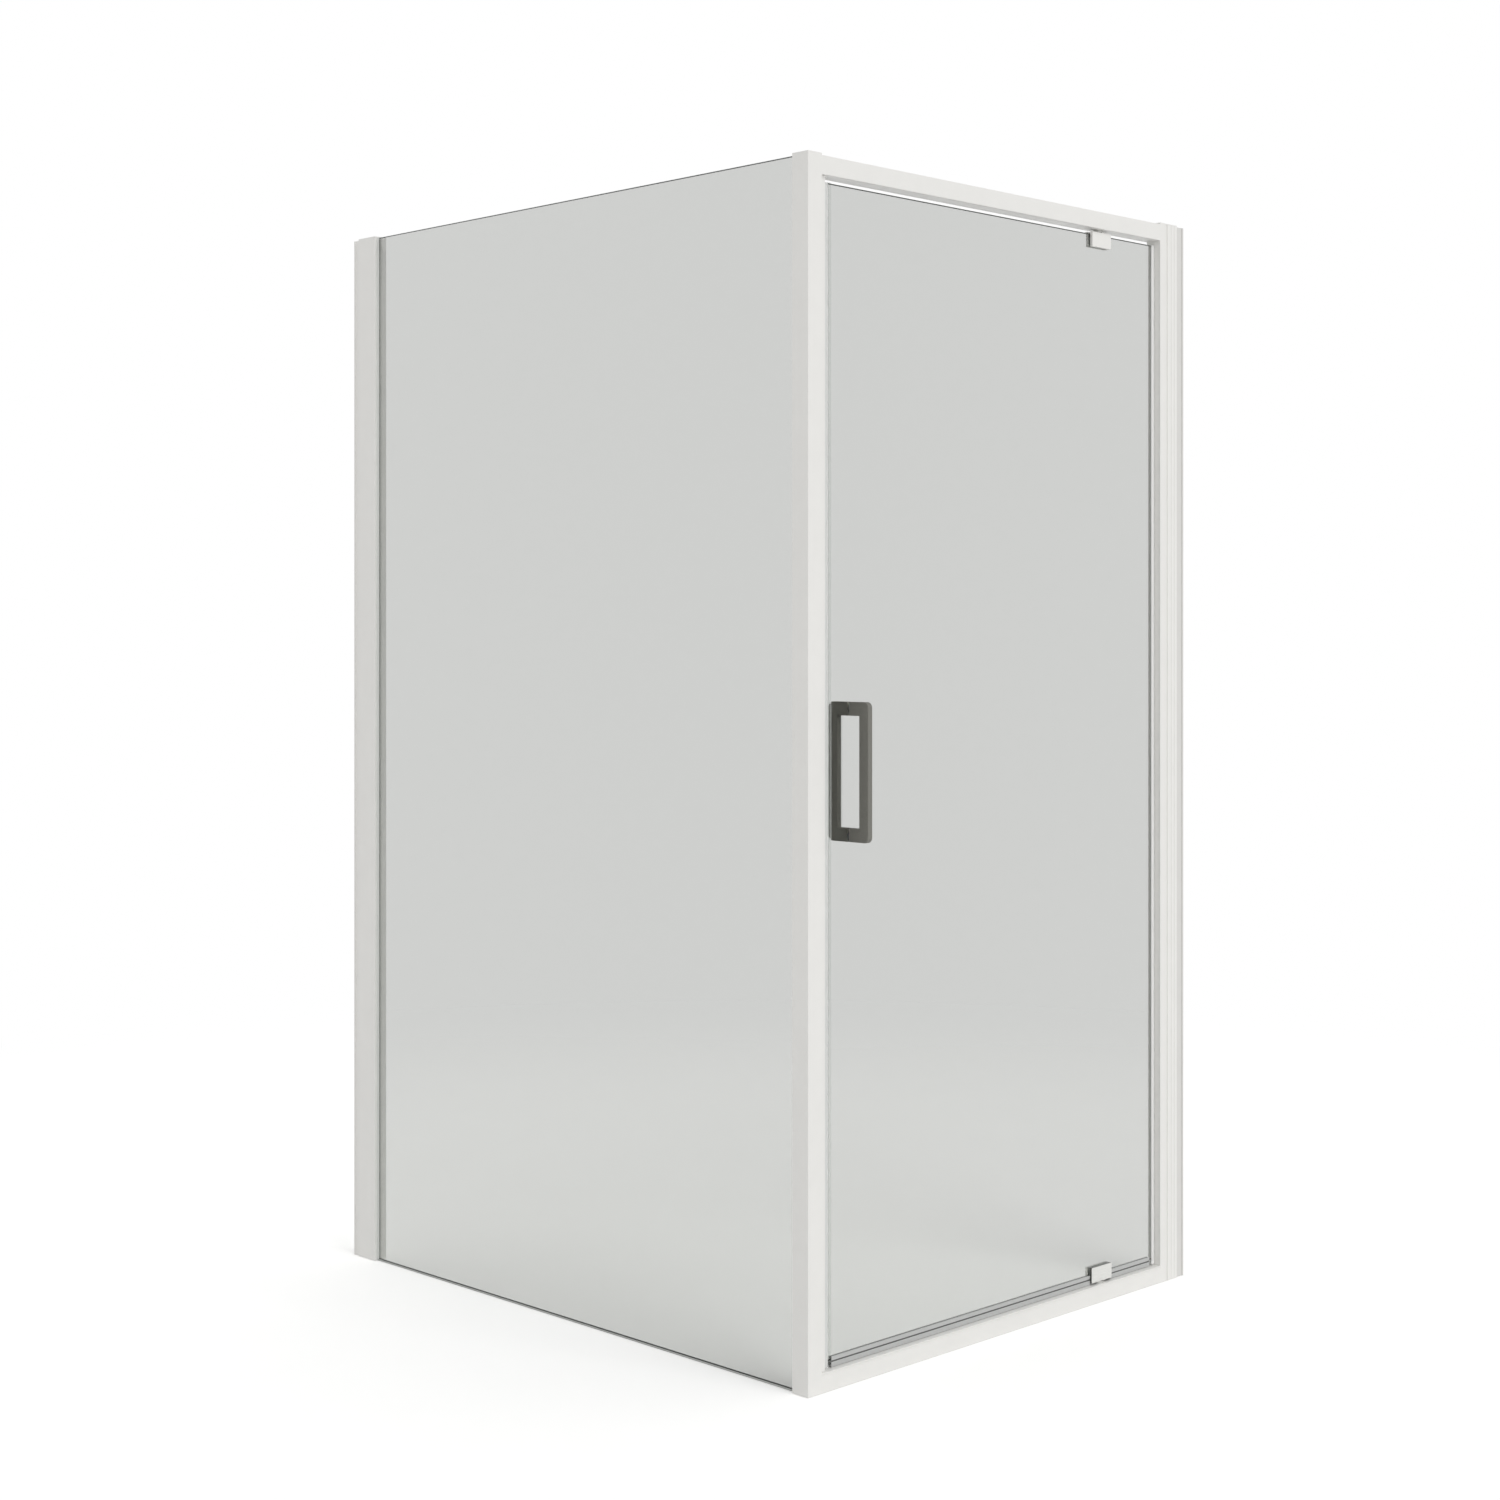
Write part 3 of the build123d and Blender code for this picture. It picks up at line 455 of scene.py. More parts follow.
screw_to_back = 9.0
screw_pitch = 765.0
screw_length = 11.0
middle = sum(span("channel_screws", "z")) / 2
door_line = span("door_wall_channel", "x")[1] - screw_to_back
door_leg = span("door_wall_channel", "y")[1]
side_line = span("side_wall_channel", "y")[1] - screw_to_back
side_leg = span("side_wall_channel", "x")[1]
seats = []
for z in (middle - screw_pitch, middle, middle + screw_pitch):
    seats.append(((door_line, door_leg, z), (0, 1, 0), screw_length))
    seats.append(((side_leg, side_line, z), (1, 0, 0), screw_length))
low_head, pan_shank, pan_socket = (3.6, 1.8), 2.0, (1.5, 1.0)
screws("channel_pan_screws", "channel_screws", "frame", seats, low_head, pan_shank, pan_socket)

# Corner post: one extrusion with a hollow front and a glazing channel in its back, of the same
# coated aluminium as the jambs. Rail and sill are screwed to its side.
coat_nodes(white_coat, "corner_post")

# Glazing gaskets: extruded silicone rubber, pale grey, with a dusty matt skin. One ribbed strip is
# pressed in on each side of the glass, in the post's channel and in the side jamb's. The outer one
# has a thin lip that lies on the glass outside the channel's mouth.


def extruded_rubber(name, light, dark):
    """Matt rubber, clouded every 3 mm by the dust that it holds."""
    made, tree, place = material(name)
    specks = {"Scale": 1000 / 3.0, "Detail": 4.0}
    dust = add(tree, "ShaderNodeTexNoise", values=specks, links={"Vector": place})
    tone = add(
        tree,
        "ShaderNodeMix",
        {"data_type": "RGBA"},
        {"A": linear(light), "B": linear(dark)},
        {"Factor": dust.outputs[0]},
    )
    relief = {"Strength": 0.6, "Distance": 0.00001}
    skin = add(tree, "ShaderNodeBump", values=relief, links={"Height": dust.outputs[0]})
    rubber = add(
        tree,
        "ShaderNodeBsdfPrincipled",
        values={"Roughness": 0.82, "IOR": 1.48},
        links={"Base Color": tone.outputs["Result"], "Normal": skin.outputs[0]},
    )
    add(tree, "ShaderNodeOutputMaterial", links={"Surface": rubber.outputs[0]})
    return made


silicone_rubber = extruded_rubber("extruded_silicone_rubber", "#DCDDDA", "#D2D3D0")

extrusion_tree, given = node_group(
    "length_drawn_from_a_section", {"Section": "Geometry", "Run": "Vector", "Material": "Material"}
)
drawn = add(
    extrusion_tree,
    "GeometryNodeExtrudeMesh",
    values={"Individual": False},
    links={"Mesh": given["Section"], "Offset": given["Run"]},
)
start = add(extrusion_tree, "GeometryNodeFlipFaces", links={"Mesh": given["Section"]})
end_tree(extrusion_tree, (drawn.outputs["Mesh"], start.outputs[0]), given)


def neighbours(ring):
    """Each point of a ring, between the one before it and the one after it."""
    return zip(ring[-1:] + ring[:-1], ring, ring[1:] + ring[:1])


arc_steps = 4


def rounded(corners):
    """The points of an outline given as corners (across, along, radius of rounding), in mm."""
    points = []
    for before, here, after in neighbours(corners):
        corner = Vector(here[:2])
        back = (Vector(before[:2]) - corner).normalized()
        ahead = (Vector(after[:2]) - corner).normalized()
        if here[2] == 0:
            points.append(corner)
            continue
        half = back.angle(ahead) / 2
        centre = corner + (back + ahead).normalized() * here[2] / math.sin(half)
        first = corner + back * here[2] / math.tan(half) - centre
        last = corner + ahead * here[2] / math.tan(half) - centre
        for step in range(arc_steps + 1):
            points.append(centre + first.lerp(last, step / arc_steps).normalized() * here[2])
    return points


def section(outlines, spot):
    """A flat face bounded by outlines in mm, hollows included. spot puts a point in space."""
    flat = bmesh.new()
    edges = []
    for outline in outlines:
        ring = [flat.verts.new(spot(point) / 1000) for point in outline]
        edges += [flat.edges.new((here, after)) for _, here, after in neighbours(ring)]
    bmesh.ops.triangle_fill(flat, use_beauty=True, use_dissolve=True, edges=edges)
    mesh = bpy.data.meshes.new("section")
    flat.to_mesh(mesh)
    flat.free()
    return mesh


def extruded(coat, outlines, spot, run):
    """A straight extrusion of a section along a run in mm, for bmesh."""
    values = {"Run": [r / 1000 for r in run], "Material": coat}
    return grown(extrusion_tree, section(outlines, spot), values)


def gasket_outline(side, way, mouth, into, front):
    """A ribbed strip between the channel's side and the glass, from its front inwards."""
    profile = front + [
        (1.6, 3.48, 0.4),
        (2.6, 2.9, 0),
        (5.2, 3.45, 0.2),
        (6.2, 2.8, 0),
        (8.8, 3.4, 0.2),
        (9.8, 2.7, 0),
        (14.3, 2.1, 0.3),
        (14.3, 0.7, 0.2),
        (10.4, 0.1, 0),
        (9.8, 0.6, 0),
        (6.8, 0.1, 0),
        (6.2, 0.6, 0),
        (3.2, 0.1, 0),
        (2.6, 0.6, 0),
    ]
    return [Vector((side + way * p.y, mouth + into * p.x)) for p in rounded(profile)]


def upright(z, x=0, y=0):
    """Puts a plan outline at a height, with its origin at x and y, in mm."""
    return lambda point: Vector((x + point.x, y + point.y, z))


lipped = [(-0.6, 0.1, 0.3), (-1.0, 2.2, 0.4), (-3.6, 2.9, 0.2), (-3.7, 3.48, 0.2)]
flush = [(-0.6, 0.1, 0.3), (-0.6, 3.48, 0.4)]
post_mouth = span("corner_post", "y")[1] - 0.5
jamb_mouth = span("side_jamb", "y")[0] + 0.6
for name, node, mouth, into in (
    ("post_gasket_strips", "post_glass_gaskets", post_mouth, -1),
    ("side_jamb_gasket_strips", "side_jamb_gaskets", jamb_mouth, 1),
):
    outer, inner = span(node, "x")
    foot, head = span(node, "z")
    strips = [
        gasket_outline(outer, 1, mouth, into, lipped),
        gasket_outline(inner, -1, mouth, into, flush),
    ]
    shape = extruded(silicone_rubber, strips, upright(foot), (0, 0, head - foot))
    finished(name, shape, [silicone_rubber], "frame", "gasket_rubber", node)

# Side glass: 6 mm clear float glass, toughened. Its face is fire polished and flat, and across it
# the glass looks pale grey. Its edges are ground and arrised, so they scatter light. The upright
# ones, which channels and seals cover, look frosted and pale. The level ones are painted dark, as
# painted shade along them.
float_glass, tree, place = material("clear_toughened_float_glass")
roller = add(tree, "ShaderNodeTexNoise", values={"Scale": 1000 / 300.0}, links={"Vector": place})
relief = {"Strength": 0.3, "Distance": 0.0002}
ripple = add(tree, "ShaderNodeBump", values=relief, links={"Height": roller.outputs[0]})
pane = add(
    tree,
    "ShaderNodeBsdfPrincipled",
    values={
        "Base Color": linear("#CBCCCA"),
        "Roughness": 0.0,
        "IOR": 1.52,
        "Transmission Weight": 1.0,
    },
    links={"Normal": ripple.outputs[0]},
)


def clear_to_lamps(tree, shader):
    """Ends a clear material's tree so that the lamps shine through it and its shadow stays pale."""
    lamp_pass = add(tree, "ShaderNodeBsdfTransparent", values={"Color": linear("#FAFBFA")})
    path = add(tree, "ShaderNodeLightPath")
    clear = add(
        tree,
        "ShaderNodeMixShader",
        links={0: path.outputs["Is Shadow Ray"], 1: shader.outputs[0], 2: lamp_pass.outputs[0]},
    )
    add(tree, "ShaderNodeOutputMaterial", links={"Surface": clear.outputs[0]})


clear_to_lamps(tree, pane)


def ground_glass(name, light, dark):
    """A ground edge, mottled by the wheel's grit every 0.8 mm."""
    made, tree, place = material(name)
    grains = {"Scale": 1000 / 0.8, "Detail": 3.0}
    grit = add(tree, "ShaderNodeTexNoise", values=grains, links={"Vector": place})
    tone = add(
        tree,
        "ShaderNodeMix",
        {"data_type": "RGBA"},
        {"A": linear(light), "B": linear(dark)},
        {"Factor": grit.outputs[0]},
    )
    ground = add(
        tree,
        "ShaderNodeBsdfPrincipled",
        values={"Roughness": 0.35, "IOR": 1.52},
        links={"Base Color": tone.outputs["Result"]},
    )
    add(tree, "ShaderNodeOutputMaterial", links={"Surface": ground.outputs[0]})
    return made


# The level edges' dark tone is painted shade. The upright edges keep the pale ground-glass tone.
shaded_level_edge = ground_glass("ground_glass_edge_painted_shade", "#3F4543", "#313634")
upright_edge = ground_glass("frosted_glass_edge", "#DDE0DE", "#CFD3D1")
edge_arris = 1.4
hole_arris = 0.4
pane_corner = 1.5
pane_front, pane_back = span("side_glass", "x")
thickness = pane_back - pane_front


def glass_pane(name, node, body, outlines, spot):
    """A pane from its outline, anticlockwise, and its holes, clockwise. spot takes (point, depth)."""
    pane = bmesh.new()
    caps = ([], [])
    for number, outline in enumerate(outlines):
        arris = hole_arris if number else edge_arris
        inset = []
        for before, here, after in neighbours(outline):
            sides = [(b - a).normalized() for a, b in ((before, here), (here, after))]
            left = [Vector((-side.y, side.x)) for side in sides]
            inset.append(here + (left[0] + left[1]) * arris / (1 + left[0].dot(left[1])))
        rings = []
        for line, depth in (
            (inset, 0.0),
            (outline, arris),
            (outline, thickness - arris),
            (inset, thickness),
        ):
            rings.append([pane.verts.new(spot(point, depth) / 1000) for point in line])
        # Level edges and the rims of holes are painted dark, as painted shade, and upright edges are
        # pale.
        for near, far in zip(rings, rings[1:]):
            for a, b, c, d in zip(near, near[1:] + near[:1], far[1:] + far[:1], far):
                level = abs(b.co.z - a.co.z) < abs(b.co.x - a.co.x) + abs(b.co.y - a.co.y)
                pane.faces.new((a, b, c, d)).material_index = 1 if level or number else 2
        for cap, ring in zip(caps, (rings[0], rings[3])):
            cap += [pane.edges.get((here, after)) for _, here, after in neighbours(ring)]
    for cap in caps:
        bmesh.ops.triangle_fill(pane, use_beauty=True, use_dissolve=True, edges=cap)
    finished(name, pane, [float_glass, shaded_level_edge, upright_edge], body, "clear_glass", node)


near, far = span("side_glass", "y")
foot, head = span("side_glass", "z")
corners = [(near, foot), (far, foot), (far, head), (near, head)]
glass_pane(
    "side_pane",
    "side_glass",
    "frame",
    [rounded([(*corner, pane_corner) for corner in corners])],
    lambda point, depth: Vector((pane_back - depth, point.x, point.y)),
)

# Seal under the side glass: a low channel of light grey EPDM rubber, extruded and laid loose. The
# glass stands in it, and its edge, painted dark as shade, and the seal are seen as one thin line at
# the pane's foot.
epdm_rubber = extruded_rubber("extruded_epdm_rubber", "#C4C6C3", "#B2B4B1")
trough = [
    (-1.1, 0, 0),
    (7.1, 0, 0),
    (7.1, 2.7, 0.4),
    (6.2, 2.9, 0.3),
    (6.1, 2.05, 0),
    (-0.1, 2.05, 0),
    (-0.2, 2.9, 0.3),
    (-1.1, 2.7, 0.4),
]
near, far = span("side_bottom_seal", "y")
shape = extruded(
    epdm_rubber,
    [rounded(trough)],
    lambda point: Vector((pane_front + point.x, near, point.y)),
    (0, far - near, 0),
)
finished("side_foot_seal", shape, [epdm_rubber], "frame", "gasket_rubber", "side_bottom_seal")

# Top rail and sill: box extrusions between the post and the hinge jamb, coated like them. The sill's
# back edge slopes, so that water runs off it to the inside.
coat_nodes(white_coat, "top_rail", "bottom_sill")

# Corner blocks and pivot blocks: glass-filled nylon mouldings inside rail and sill, which take the
# screws and the pivot pins. Short glass fibres leave pale streaks about 3 mm long in the dark nylon.
filled_nylon, tree, place = material("glass_filled_nylon")
along = add(tree, "ShaderNodeMapping", values={"Scale": (0.25, 1.0, 1.0)}, links={"Vector": place})
streaks = {"Scale": 1000 / 0.8, "Detail": 2.0}
fibres = add(tree, "ShaderNodeTexNoise", values=streaks, links={"Vector": along.outputs[0]})
tone = add(
    tree,
    "ShaderNodeMix",
    {"data_type": "RGBA"},
    {"A": linear("#3F4042"), "B": linear("#56585A")},
    {"Factor": fibres.outputs[0]},
)
moulding = add(
    tree,
    "ShaderNodeBsdfPrincipled",
    values={"Roughness": 0.55, "IOR": 1.53},
    links={"Base Color": tone.outputs["Result"]},
)
add(tree, "ShaderNodeOutputMaterial", links={"Surface": moulding.outputs[0]})
coat_nodes(filled_nylon, "corner_blocks", "top_pivot_block", "bottom_pivot_block")

# Frame screws: the corner blocks' screws, into post and jamb from inside the blocks and into the
# blocks from behind, and the pivot blocks' screws beside them. Zinc plated like the channel screws.
pan_head = (3.6, 2.0)
sill_screw_level = 13.5
end_screw_length = 25.0
end_screw_seat = 19.0
end_screw_depth = 10.0
back_screw_length = 10.0
back_screw_inset = 12.6
pivot_screw_offset = 15.0
levels = (sum(span("top_rail", "z")) / 2, sill_screw_level)
post_end, jamb_end = span("top_rail", "x")
back = span("top_rail", "y")[1]
seats = []
for z in levels:
    for end, way in ((post_end, 1), (jamb_end, -1)):
        seat = (end + way * end_screw_seat, end_screw_depth, z)
        seats.append((seat, (way, 0, 0), end_screw_length))
        seat = (end + way * back_screw_inset, back, z)
        seats.append((seat, (0, 1, 0), back_screw_length))
node = "corner_block_screws"
screws("corner_block_pan_screws", node, "frame", seats, pan_head, pan_shank, pan_socket)

pivot_x, pivot_y = (sum(span("bottom_pivot_pin", axis)) / 2 for axis in "xy")
seats = []
for z in levels:
    for x in (pivot_x - pivot_screw_offset, pivot_x + pivot_screw_offset):
        seats.append(((x, back, z), (0, 1, 0), back_screw_length))
node = "pivot_block_screws"
screws("pivot_block_pan_screws", node, "frame", seats, pan_head, pan_shank, pan_socket)

# Pivot pins: turned stainless steel, one pressed up from the sill and one down from the rail. Turning
# leaves fine rings round each pin's axis, 0.1 mm apart, drawn at 0.5 mm so that they show.
turned_steel, tree, place = material("turned_stainless_steel")
to_axis = (-pivot_x / 1000, -pivot_y / 1000, 0)
centred = add(tree, "ShaderNodeMapping", values={"Location": to_axis}, links={"Vector": place})
rings = add(
    tree,
    "ShaderNodeTexWave",
    {"wave_type": "RINGS", "rings_direction": "Z"},
    {"Scale": 1000 / 0.5 / 20, "Distortion": 0.4},
    {"Vector": centred.outputs[0]},
)
relief = {"Strength": 0.5, "Distance": 0.00001}
cut = add(tree, "ShaderNodeBump", values=relief, links={"Height": rings.outputs["Color"]})
tone = add(
    tree,
    "ShaderNodeMix",
    {"data_type": "RGBA"},
    {"A": linear("#CFCFCC"), "B": linear("#B9B9B6")},
    {"Factor": rings.outputs["Color"]},
)
steel = add(
    tree,
    "ShaderNodeBsdfPrincipled",
    values={"Metallic": 1.0, "Roughness": 0.26},
    links={"Base Color": tone.outputs["Result"], "Normal": cut.outputs[0]},
)
add(tree, "ShaderNodeOutputMaterial", links={"Surface": steel.outputs[0]})
coat_nodes(turned_steel, "top_pivot_pin", "bottom_pivot_pin", "handle_studs", "handle_grub_screws")

# Strike profile: the coated extrusion on the post that the door closes against. Its strip and the
# strip in the door's seal are magnetic rubber, pale grey, with a fine granular skin.
coat_nodes(white_coat, "strike_profile")
magnetic_rubber, tree, place = material("pale_magnetic_rubber")
grains = {"Scale": 1000 / 0.7, "Detail": 3.0}
powder = add(tree, "ShaderNodeTexNoise", values=grains, links={"Vector": place})
tone = add(
    tree,
    "ShaderNodeMix",
    {"data_type": "RGBA"},
    {"A": linear("#C4C4C1"), "B": linear("#B2B2AF")},
    {"Factor": powder.outputs[0]},
)
strip = add(
    tree,
    "ShaderNodeBsdfPrincipled",
    values={"Roughness": 0.7, "IOR": 1.5},
    links={"Base Color": tone.outputs["Result"]},
)
add(tree, "ShaderNodeOutputMaterial", links={"Surface": strip.outputs[0]})
coat_nodes(magnetic_rubber, "strike_magnet", "door_magnet")

# Door glass: the same toughened glass as the side panel, with a notch at each pivot and holes for the
# clamp screws and the handle's two studs.
notch_width = 26.0
notch_corner = 2.0
foot_notch, head_notch = 13.8, 17.0
clamp_hole, handle_hole = 4.05, 4.55
clamp_screw_offset = 20.5
stud_inset = 11.0
hole_sides = 32
free_edge, hinge_edge = span("door_glass", "x")
door_front = span("door_glass", "y")[0]
foot, head = span("door_glass", "z")
left, right = pivot_x - notch_width / 2, pivot_x + notch_width / 2
door_outline = rounded(
    [
        (free_edge, foot, pane_corner),
        (left, foot, pane_corner),
        (left, foot + foot_notch, notch_corner),
        (right, foot + foot_notch, notch_corner),
        (right, foot, pane_corner),
        (hinge_edge, foot, pane_corner),
        (hinge_edge, head, pane_corner),
        (right, head, pane_corner),
        (right, head - head_notch, notch_corner),
        (left, head - head_notch, notch_corner),
        (left, head, pane_corner),
        (free_edge, head, pane_corner),
    ]
)
clamp_lines = (pivot_x - clamp_screw_offset, pivot_x + clamp_screw_offset)
clamp_levels = [sum(span(end + "_clamp_screws", "z")) / 2 for end in ("bottom", "top")]
handle_line = sum(span("outer_handle", "x")) / 2
handle_foot, handle_head = span("outer_handle", "z")
handle_levels = (handle_foot + stud_inset, handle_head - stud_inset)
holes = [(x, z, clamp_hole) for z in clamp_levels for x in clamp_lines]
holes += [(handle_line, z, handle_hole) for z in handle_levels]
outlines = [door_outline]
turns = [math.tau * step / hole_sides for step in range(hole_sides)]
for x, z, radius in holes:
    hole = [Vector((x + radius * math.cos(turn), z - radius * math.sin(turn))) for turn in turns]
    outlines.append(hole)
glass_pane(
    "door_pane",
    "door_glass",
    "door",
    outlines,
    lambda point, depth: Vector((point.x, door_front + depth, point.y)),
)

# Pivot clamps: each is an outer plate with a boss in the glass's notch, and an inner plate. The
# bottom pair is stainless steel, brushed along the door: hair lines 0.1 mm apart, drawn at 0.5 mm,
# on its faces and bevels. The outer one's cut edges are painted dark, as painted shade and dark
# reflection on its side faces. The top pair is coated like the rail.


def brushed_plate_with_painted_edge_shade(name, edge):
    """Steel brushed on faces that look along Y and on their bevels. Its cut edges have one tone,
    painted shade.
    """
    made, tree, place = material(name)
    along = add(tree, "ShaderNodeMapping", values={"Scale": (0.02, 1.0, 1.0)}, links={"Vector": place})
    scratches = {"Scale": 1000 / 0.5, "Detail": 4.0}
    hairs = add(tree, "ShaderNodeTexNoise", values=scratches, links={"Vector": along.outputs[0]})
    hair_tone = add(
        tree,
        "ShaderNodeMix",
        {"data_type": "RGBA"},
        {"A": linear("#EDEDEA"), "B": linear("#C8C8C5")},
        {"Factor": hairs.outputs[0]},
    )
    normal = place.node.outputs["Normal"]
    facing = add(tree, "ShaderNodeVectorMath", {"operation": "ABSOLUTE"}, links={0: normal})
    along_y = add(tree, "ShaderNodeSeparateXYZ", links={0: facing.outputs[0]}).outputs["Y"]
    bevel = {"From Min": 0.3, "From Max": 0.6}
    brushed = add(tree, "ShaderNodeMapRange", values=bevel, links={"Value": along_y})
    tone = add(
        tree,
        "ShaderNodeMix",
        {"data_type": "RGBA"},
        {"A": linear(edge)},
        {"Factor": brushed.outputs[0], "B": hair_tone.outputs["Result"]},
    )
    gloss_range = {"To Min": 0.24, "To Max": 0.46}
    gloss = add(tree, "ShaderNodeMapRange", values=gloss_range, links={"Value": hairs.outputs[0]})
    relief = {"Strength": 0.8, "Distance": 0.00002}
    lines = add(tree, "ShaderNodeBump", values=relief, links={"Height": hairs.outputs[0]})
    plate = add(
        tree,
        "ShaderNodeBsdfPrincipled",
        values={"Metallic": 1.0},
        links={
            "Base Color": tone.outputs["Result"],
            "Roughness": gloss.outputs[0],
            "Normal": lines.outputs[0],
        },
    )
    add(tree, "ShaderNodeOutputMaterial", links={"Surface": plate.outputs[0]})
    return made


# The outer plate's dark cut edges are painted shade. The inner plate's edges are near its own pale
# tone.
coat_nodes(brushed_plate_with_painted_edge_shade("brushed_stainless_steel", "#6C6C69"), "bottom_clamp_outer")
coat_nodes(brushed_plate_with_painted_edge_shade("brushed_stainless_steel_inner", "#D2D2CF"), "bottom_clamp_inner")
coat_nodes(white_coat, "top_clamp_outer", "top_clamp_inner")

# Clamp gaskets: sheets cut from the same rubbers, between the plates and the glass. They are light
# grey at the bottom pair and paler at the top pair.
coat_nodes(epdm_rubber, "bottom_clamp_gaskets")
coat_nodes(silicone_rubber, "top_clamp_gaskets")

# Clamp screws: two socket cap screws through each inner plate, of zinc-plated steel. Their heads lie
# in counterbores, flush with the plate, and they draw both plates on to the glass.
cap_head, cap_socket = (4.6, 2.8), (2.5, 1.4)
cap_shank, cap_depth = 2.5, 13.5
seat_y = span("bottom_clamp_inner", "y")[1] - cap_head[1]
for end, z in zip(("bottom", "top"), clamp_levels):
    seats = [((x, seat_y, z), (0, 1, 0), cap_depth) for x in clamp_lines]
    node = end + "_clamp_screws"
    screws(end + "_clamp_cap_screws", node, "door", seats, cap_head, cap_shank, cap_socket)

# Pivot bushes: small mouldings of natural nylon, pressed into the clamps' bosses. It is milky, and
# its surface is faintly waxy where it filled the mould.


def moulded_nylon(name, light, dark):
    """Waxy nylon, clouded every 4 mm where the melt met in the mould."""
    made, tree, place = material(name)
    clouds = {"Scale": 1000 / 4.0, "Detail": 2.0}
    milk = add(tree, "ShaderNodeTexNoise", values=clouds, links={"Vector": place})
    tone = add(
        tree,
        "ShaderNodeMix",
        {"data_type": "RGBA"},
        {"A": linear(light), "B": linear(dark)},
        {"Factor": milk.outputs[0]},
    )
    waxy = add(
        tree,
        "ShaderNodeBsdfPrincipled",
        values={
            "Roughness": 0.45,
            "IOR": 1.53,
            "Subsurface Weight": 0.2,
            "Subsurface Scale": 0.002,
        },
        links={"Base Color": tone.outputs["Result"]},
    )
    add(tree, "ShaderNodeOutputMaterial", links={"Surface": waxy.outputs[0]})
    return made


natural_nylon = moulded_nylon("moulded_natural_nylon", "#E2E0DA", "#D5D3CC")
coat_nodes(natural_nylon, "bottom_pivot_bush", "top_pivot_bush")

# Magnet seal: PVC extruded in two grades at once and pushed on the door's free edge. Its milky nose
# holds the magnetic strip. Its two clear legs grip the glass, and what is behind shows through them.
clear_pvc, tree, place = material("clear_soft_pvc")
clouds = {"Scale": 1000 / 6.0, "Detail": 2.0}
haze = add(tree, "ShaderNodeTexNoise", values=clouds, links={"Vector": place})
gloss_range = {"To Min": 0.02, "To Max": 0.06}
gloss = add(tree, "ShaderNodeMapRange", values=gloss_range, links={"Value": haze.outputs[0]})
soft = add(
    tree,
    "ShaderNodeBsdfPrincipled",
    values={"Base Color": linear("#F4F5F4"), "IOR": 1.06, "Transmission Weight": 1.0},
    links={"Roughness": gloss.outputs[0]},
)
clear_to_lamps(tree, soft)


def soft_pvc(name, light, dark):
    """Soft PVC with a faint sheen, clouded every 2.5 mm. Light soaks a few millimetres into it."""
    made, tree, place = material(name)
    clouds = {"Scale": 1000 / 2.5, "Detail": 2.0}
    skin = add(tree, "ShaderNodeTexNoise", values=clouds, links={"Vector": place})
    tone = add(
        tree,
        "ShaderNodeMix",
        {"data_type": "RGBA"},
        {"A": linear(light), "B": linear(dark)},
        {"Factor": skin.outputs[0]},
    )
    soft = add(
        tree,
        "ShaderNodeBsdfPrincipled",
        values={
            "Roughness": 0.42,
            "IOR": 1.53,
            "Subsurface Weight": 0.8,
            "Subsurface Radius": (1.0, 1.0, 1.0),
            "Subsurface Scale": 0.004,
        },
        links={"Base Color": tone.outputs["Result"]},
    )
    add(tree, "ShaderNodeOutputMaterial", links={"Surface": soft.outputs[0]})
    return made


milky_pvc = soft_pvc("soft_milky_pvc", "#DEDFDD", "#D6D7D5")
grip = [
    (-10.6, -1.8, 1.4),
    (0.0, -1.8, 0.4),
    (8.4, -1.4, 0.4),
    (8.4, -0.1, 0.3),
    (6.8, -0.1, 0.3),
    (6.2, -0.4, 0.2),
    (-0.2, -0.4, 0.3),
    (-0.2, 6.4, 0.3),
    (6.2, 6.4, 0.2),
    (6.8, 6.1, 0.3),
    (8.4, 6.1, 0.3),
    (8.4, 7.4, 0.4),
    (0.0, 7.8, 0.4),
    (-10.6, 7.8, 1.4),
]
magnet_hollow = [(-9.8, -0.2, 0), (-7.2, -0.2, 0), (-7.2, 6.2, 0), (-9.8, 6.2, 0)]
air_hollow = [(-5.6, -0.2, 0.8), (-1.8, -0.2, 0.8), (-1.8, 6.2, 0.8), (-5.6, 6.2, 0.8)]
outlines = [rounded(grip), rounded(magnet_hollow), rounded(air_hollow)]
seal_foot, seal_head = span("magnet_seal", "z")
seal_run = (0, 0, seal_head - seal_foot)
on_edge = upright(seal_foot, free_edge, door_front)
shape = extruded(clear_pvc, outlines, on_edge, seal_run)
nose_end = (free_edge - 0.1) / 1000
for face in shape.faces:
    if face.calc_center_median().x < nose_end:
        face.material_index = 1
finished("door_magnet_seal", shape, [clear_pvc, milky_pvc], "door", "clear_seal", "magnet_seal")

# Hinge-edge seal: soft white PVC, extruded as a hollow bulb towards the jamb. A leg outside and a
# short lip inside hold it on the glass, and it is pushed on like the magnet seal.
white_pvc = soft_pvc("soft_white_pvc", "#F4F4F2", "#EEEEEC")
edge_grip = [
    (-5.5, -1.4, 0.3),
    (-4.8, -1.8, 0.3),
    (4.0, -1.8, 2.2),
    (4.0, 7.8, 2.2),
    (-1.6, 7.8, 0.4),
    (-1.8, 6.15, 0.2),
    (0.2, 6.3, 0.3),
    (0.2, -0.3, 0.3),
    (-5.5, -0.2, 0.3),
]
bulb = [(1.2, 0.2, 0.7), (2.8, 0.2, 0.7), (2.8, 5.8, 0.7), (1.2, 5.8, 0.7)]
outlines = [rounded(edge_grip), rounded(bulb)]
on_edge = upright(seal_foot, hinge_edge, door_front)
shape = extruded(white_pvc, outlines, on_edge, seal_run)
finished("door_hinge_seal", shape, [white_pvc], "door", "white_seal", "hinge_edge_seal")
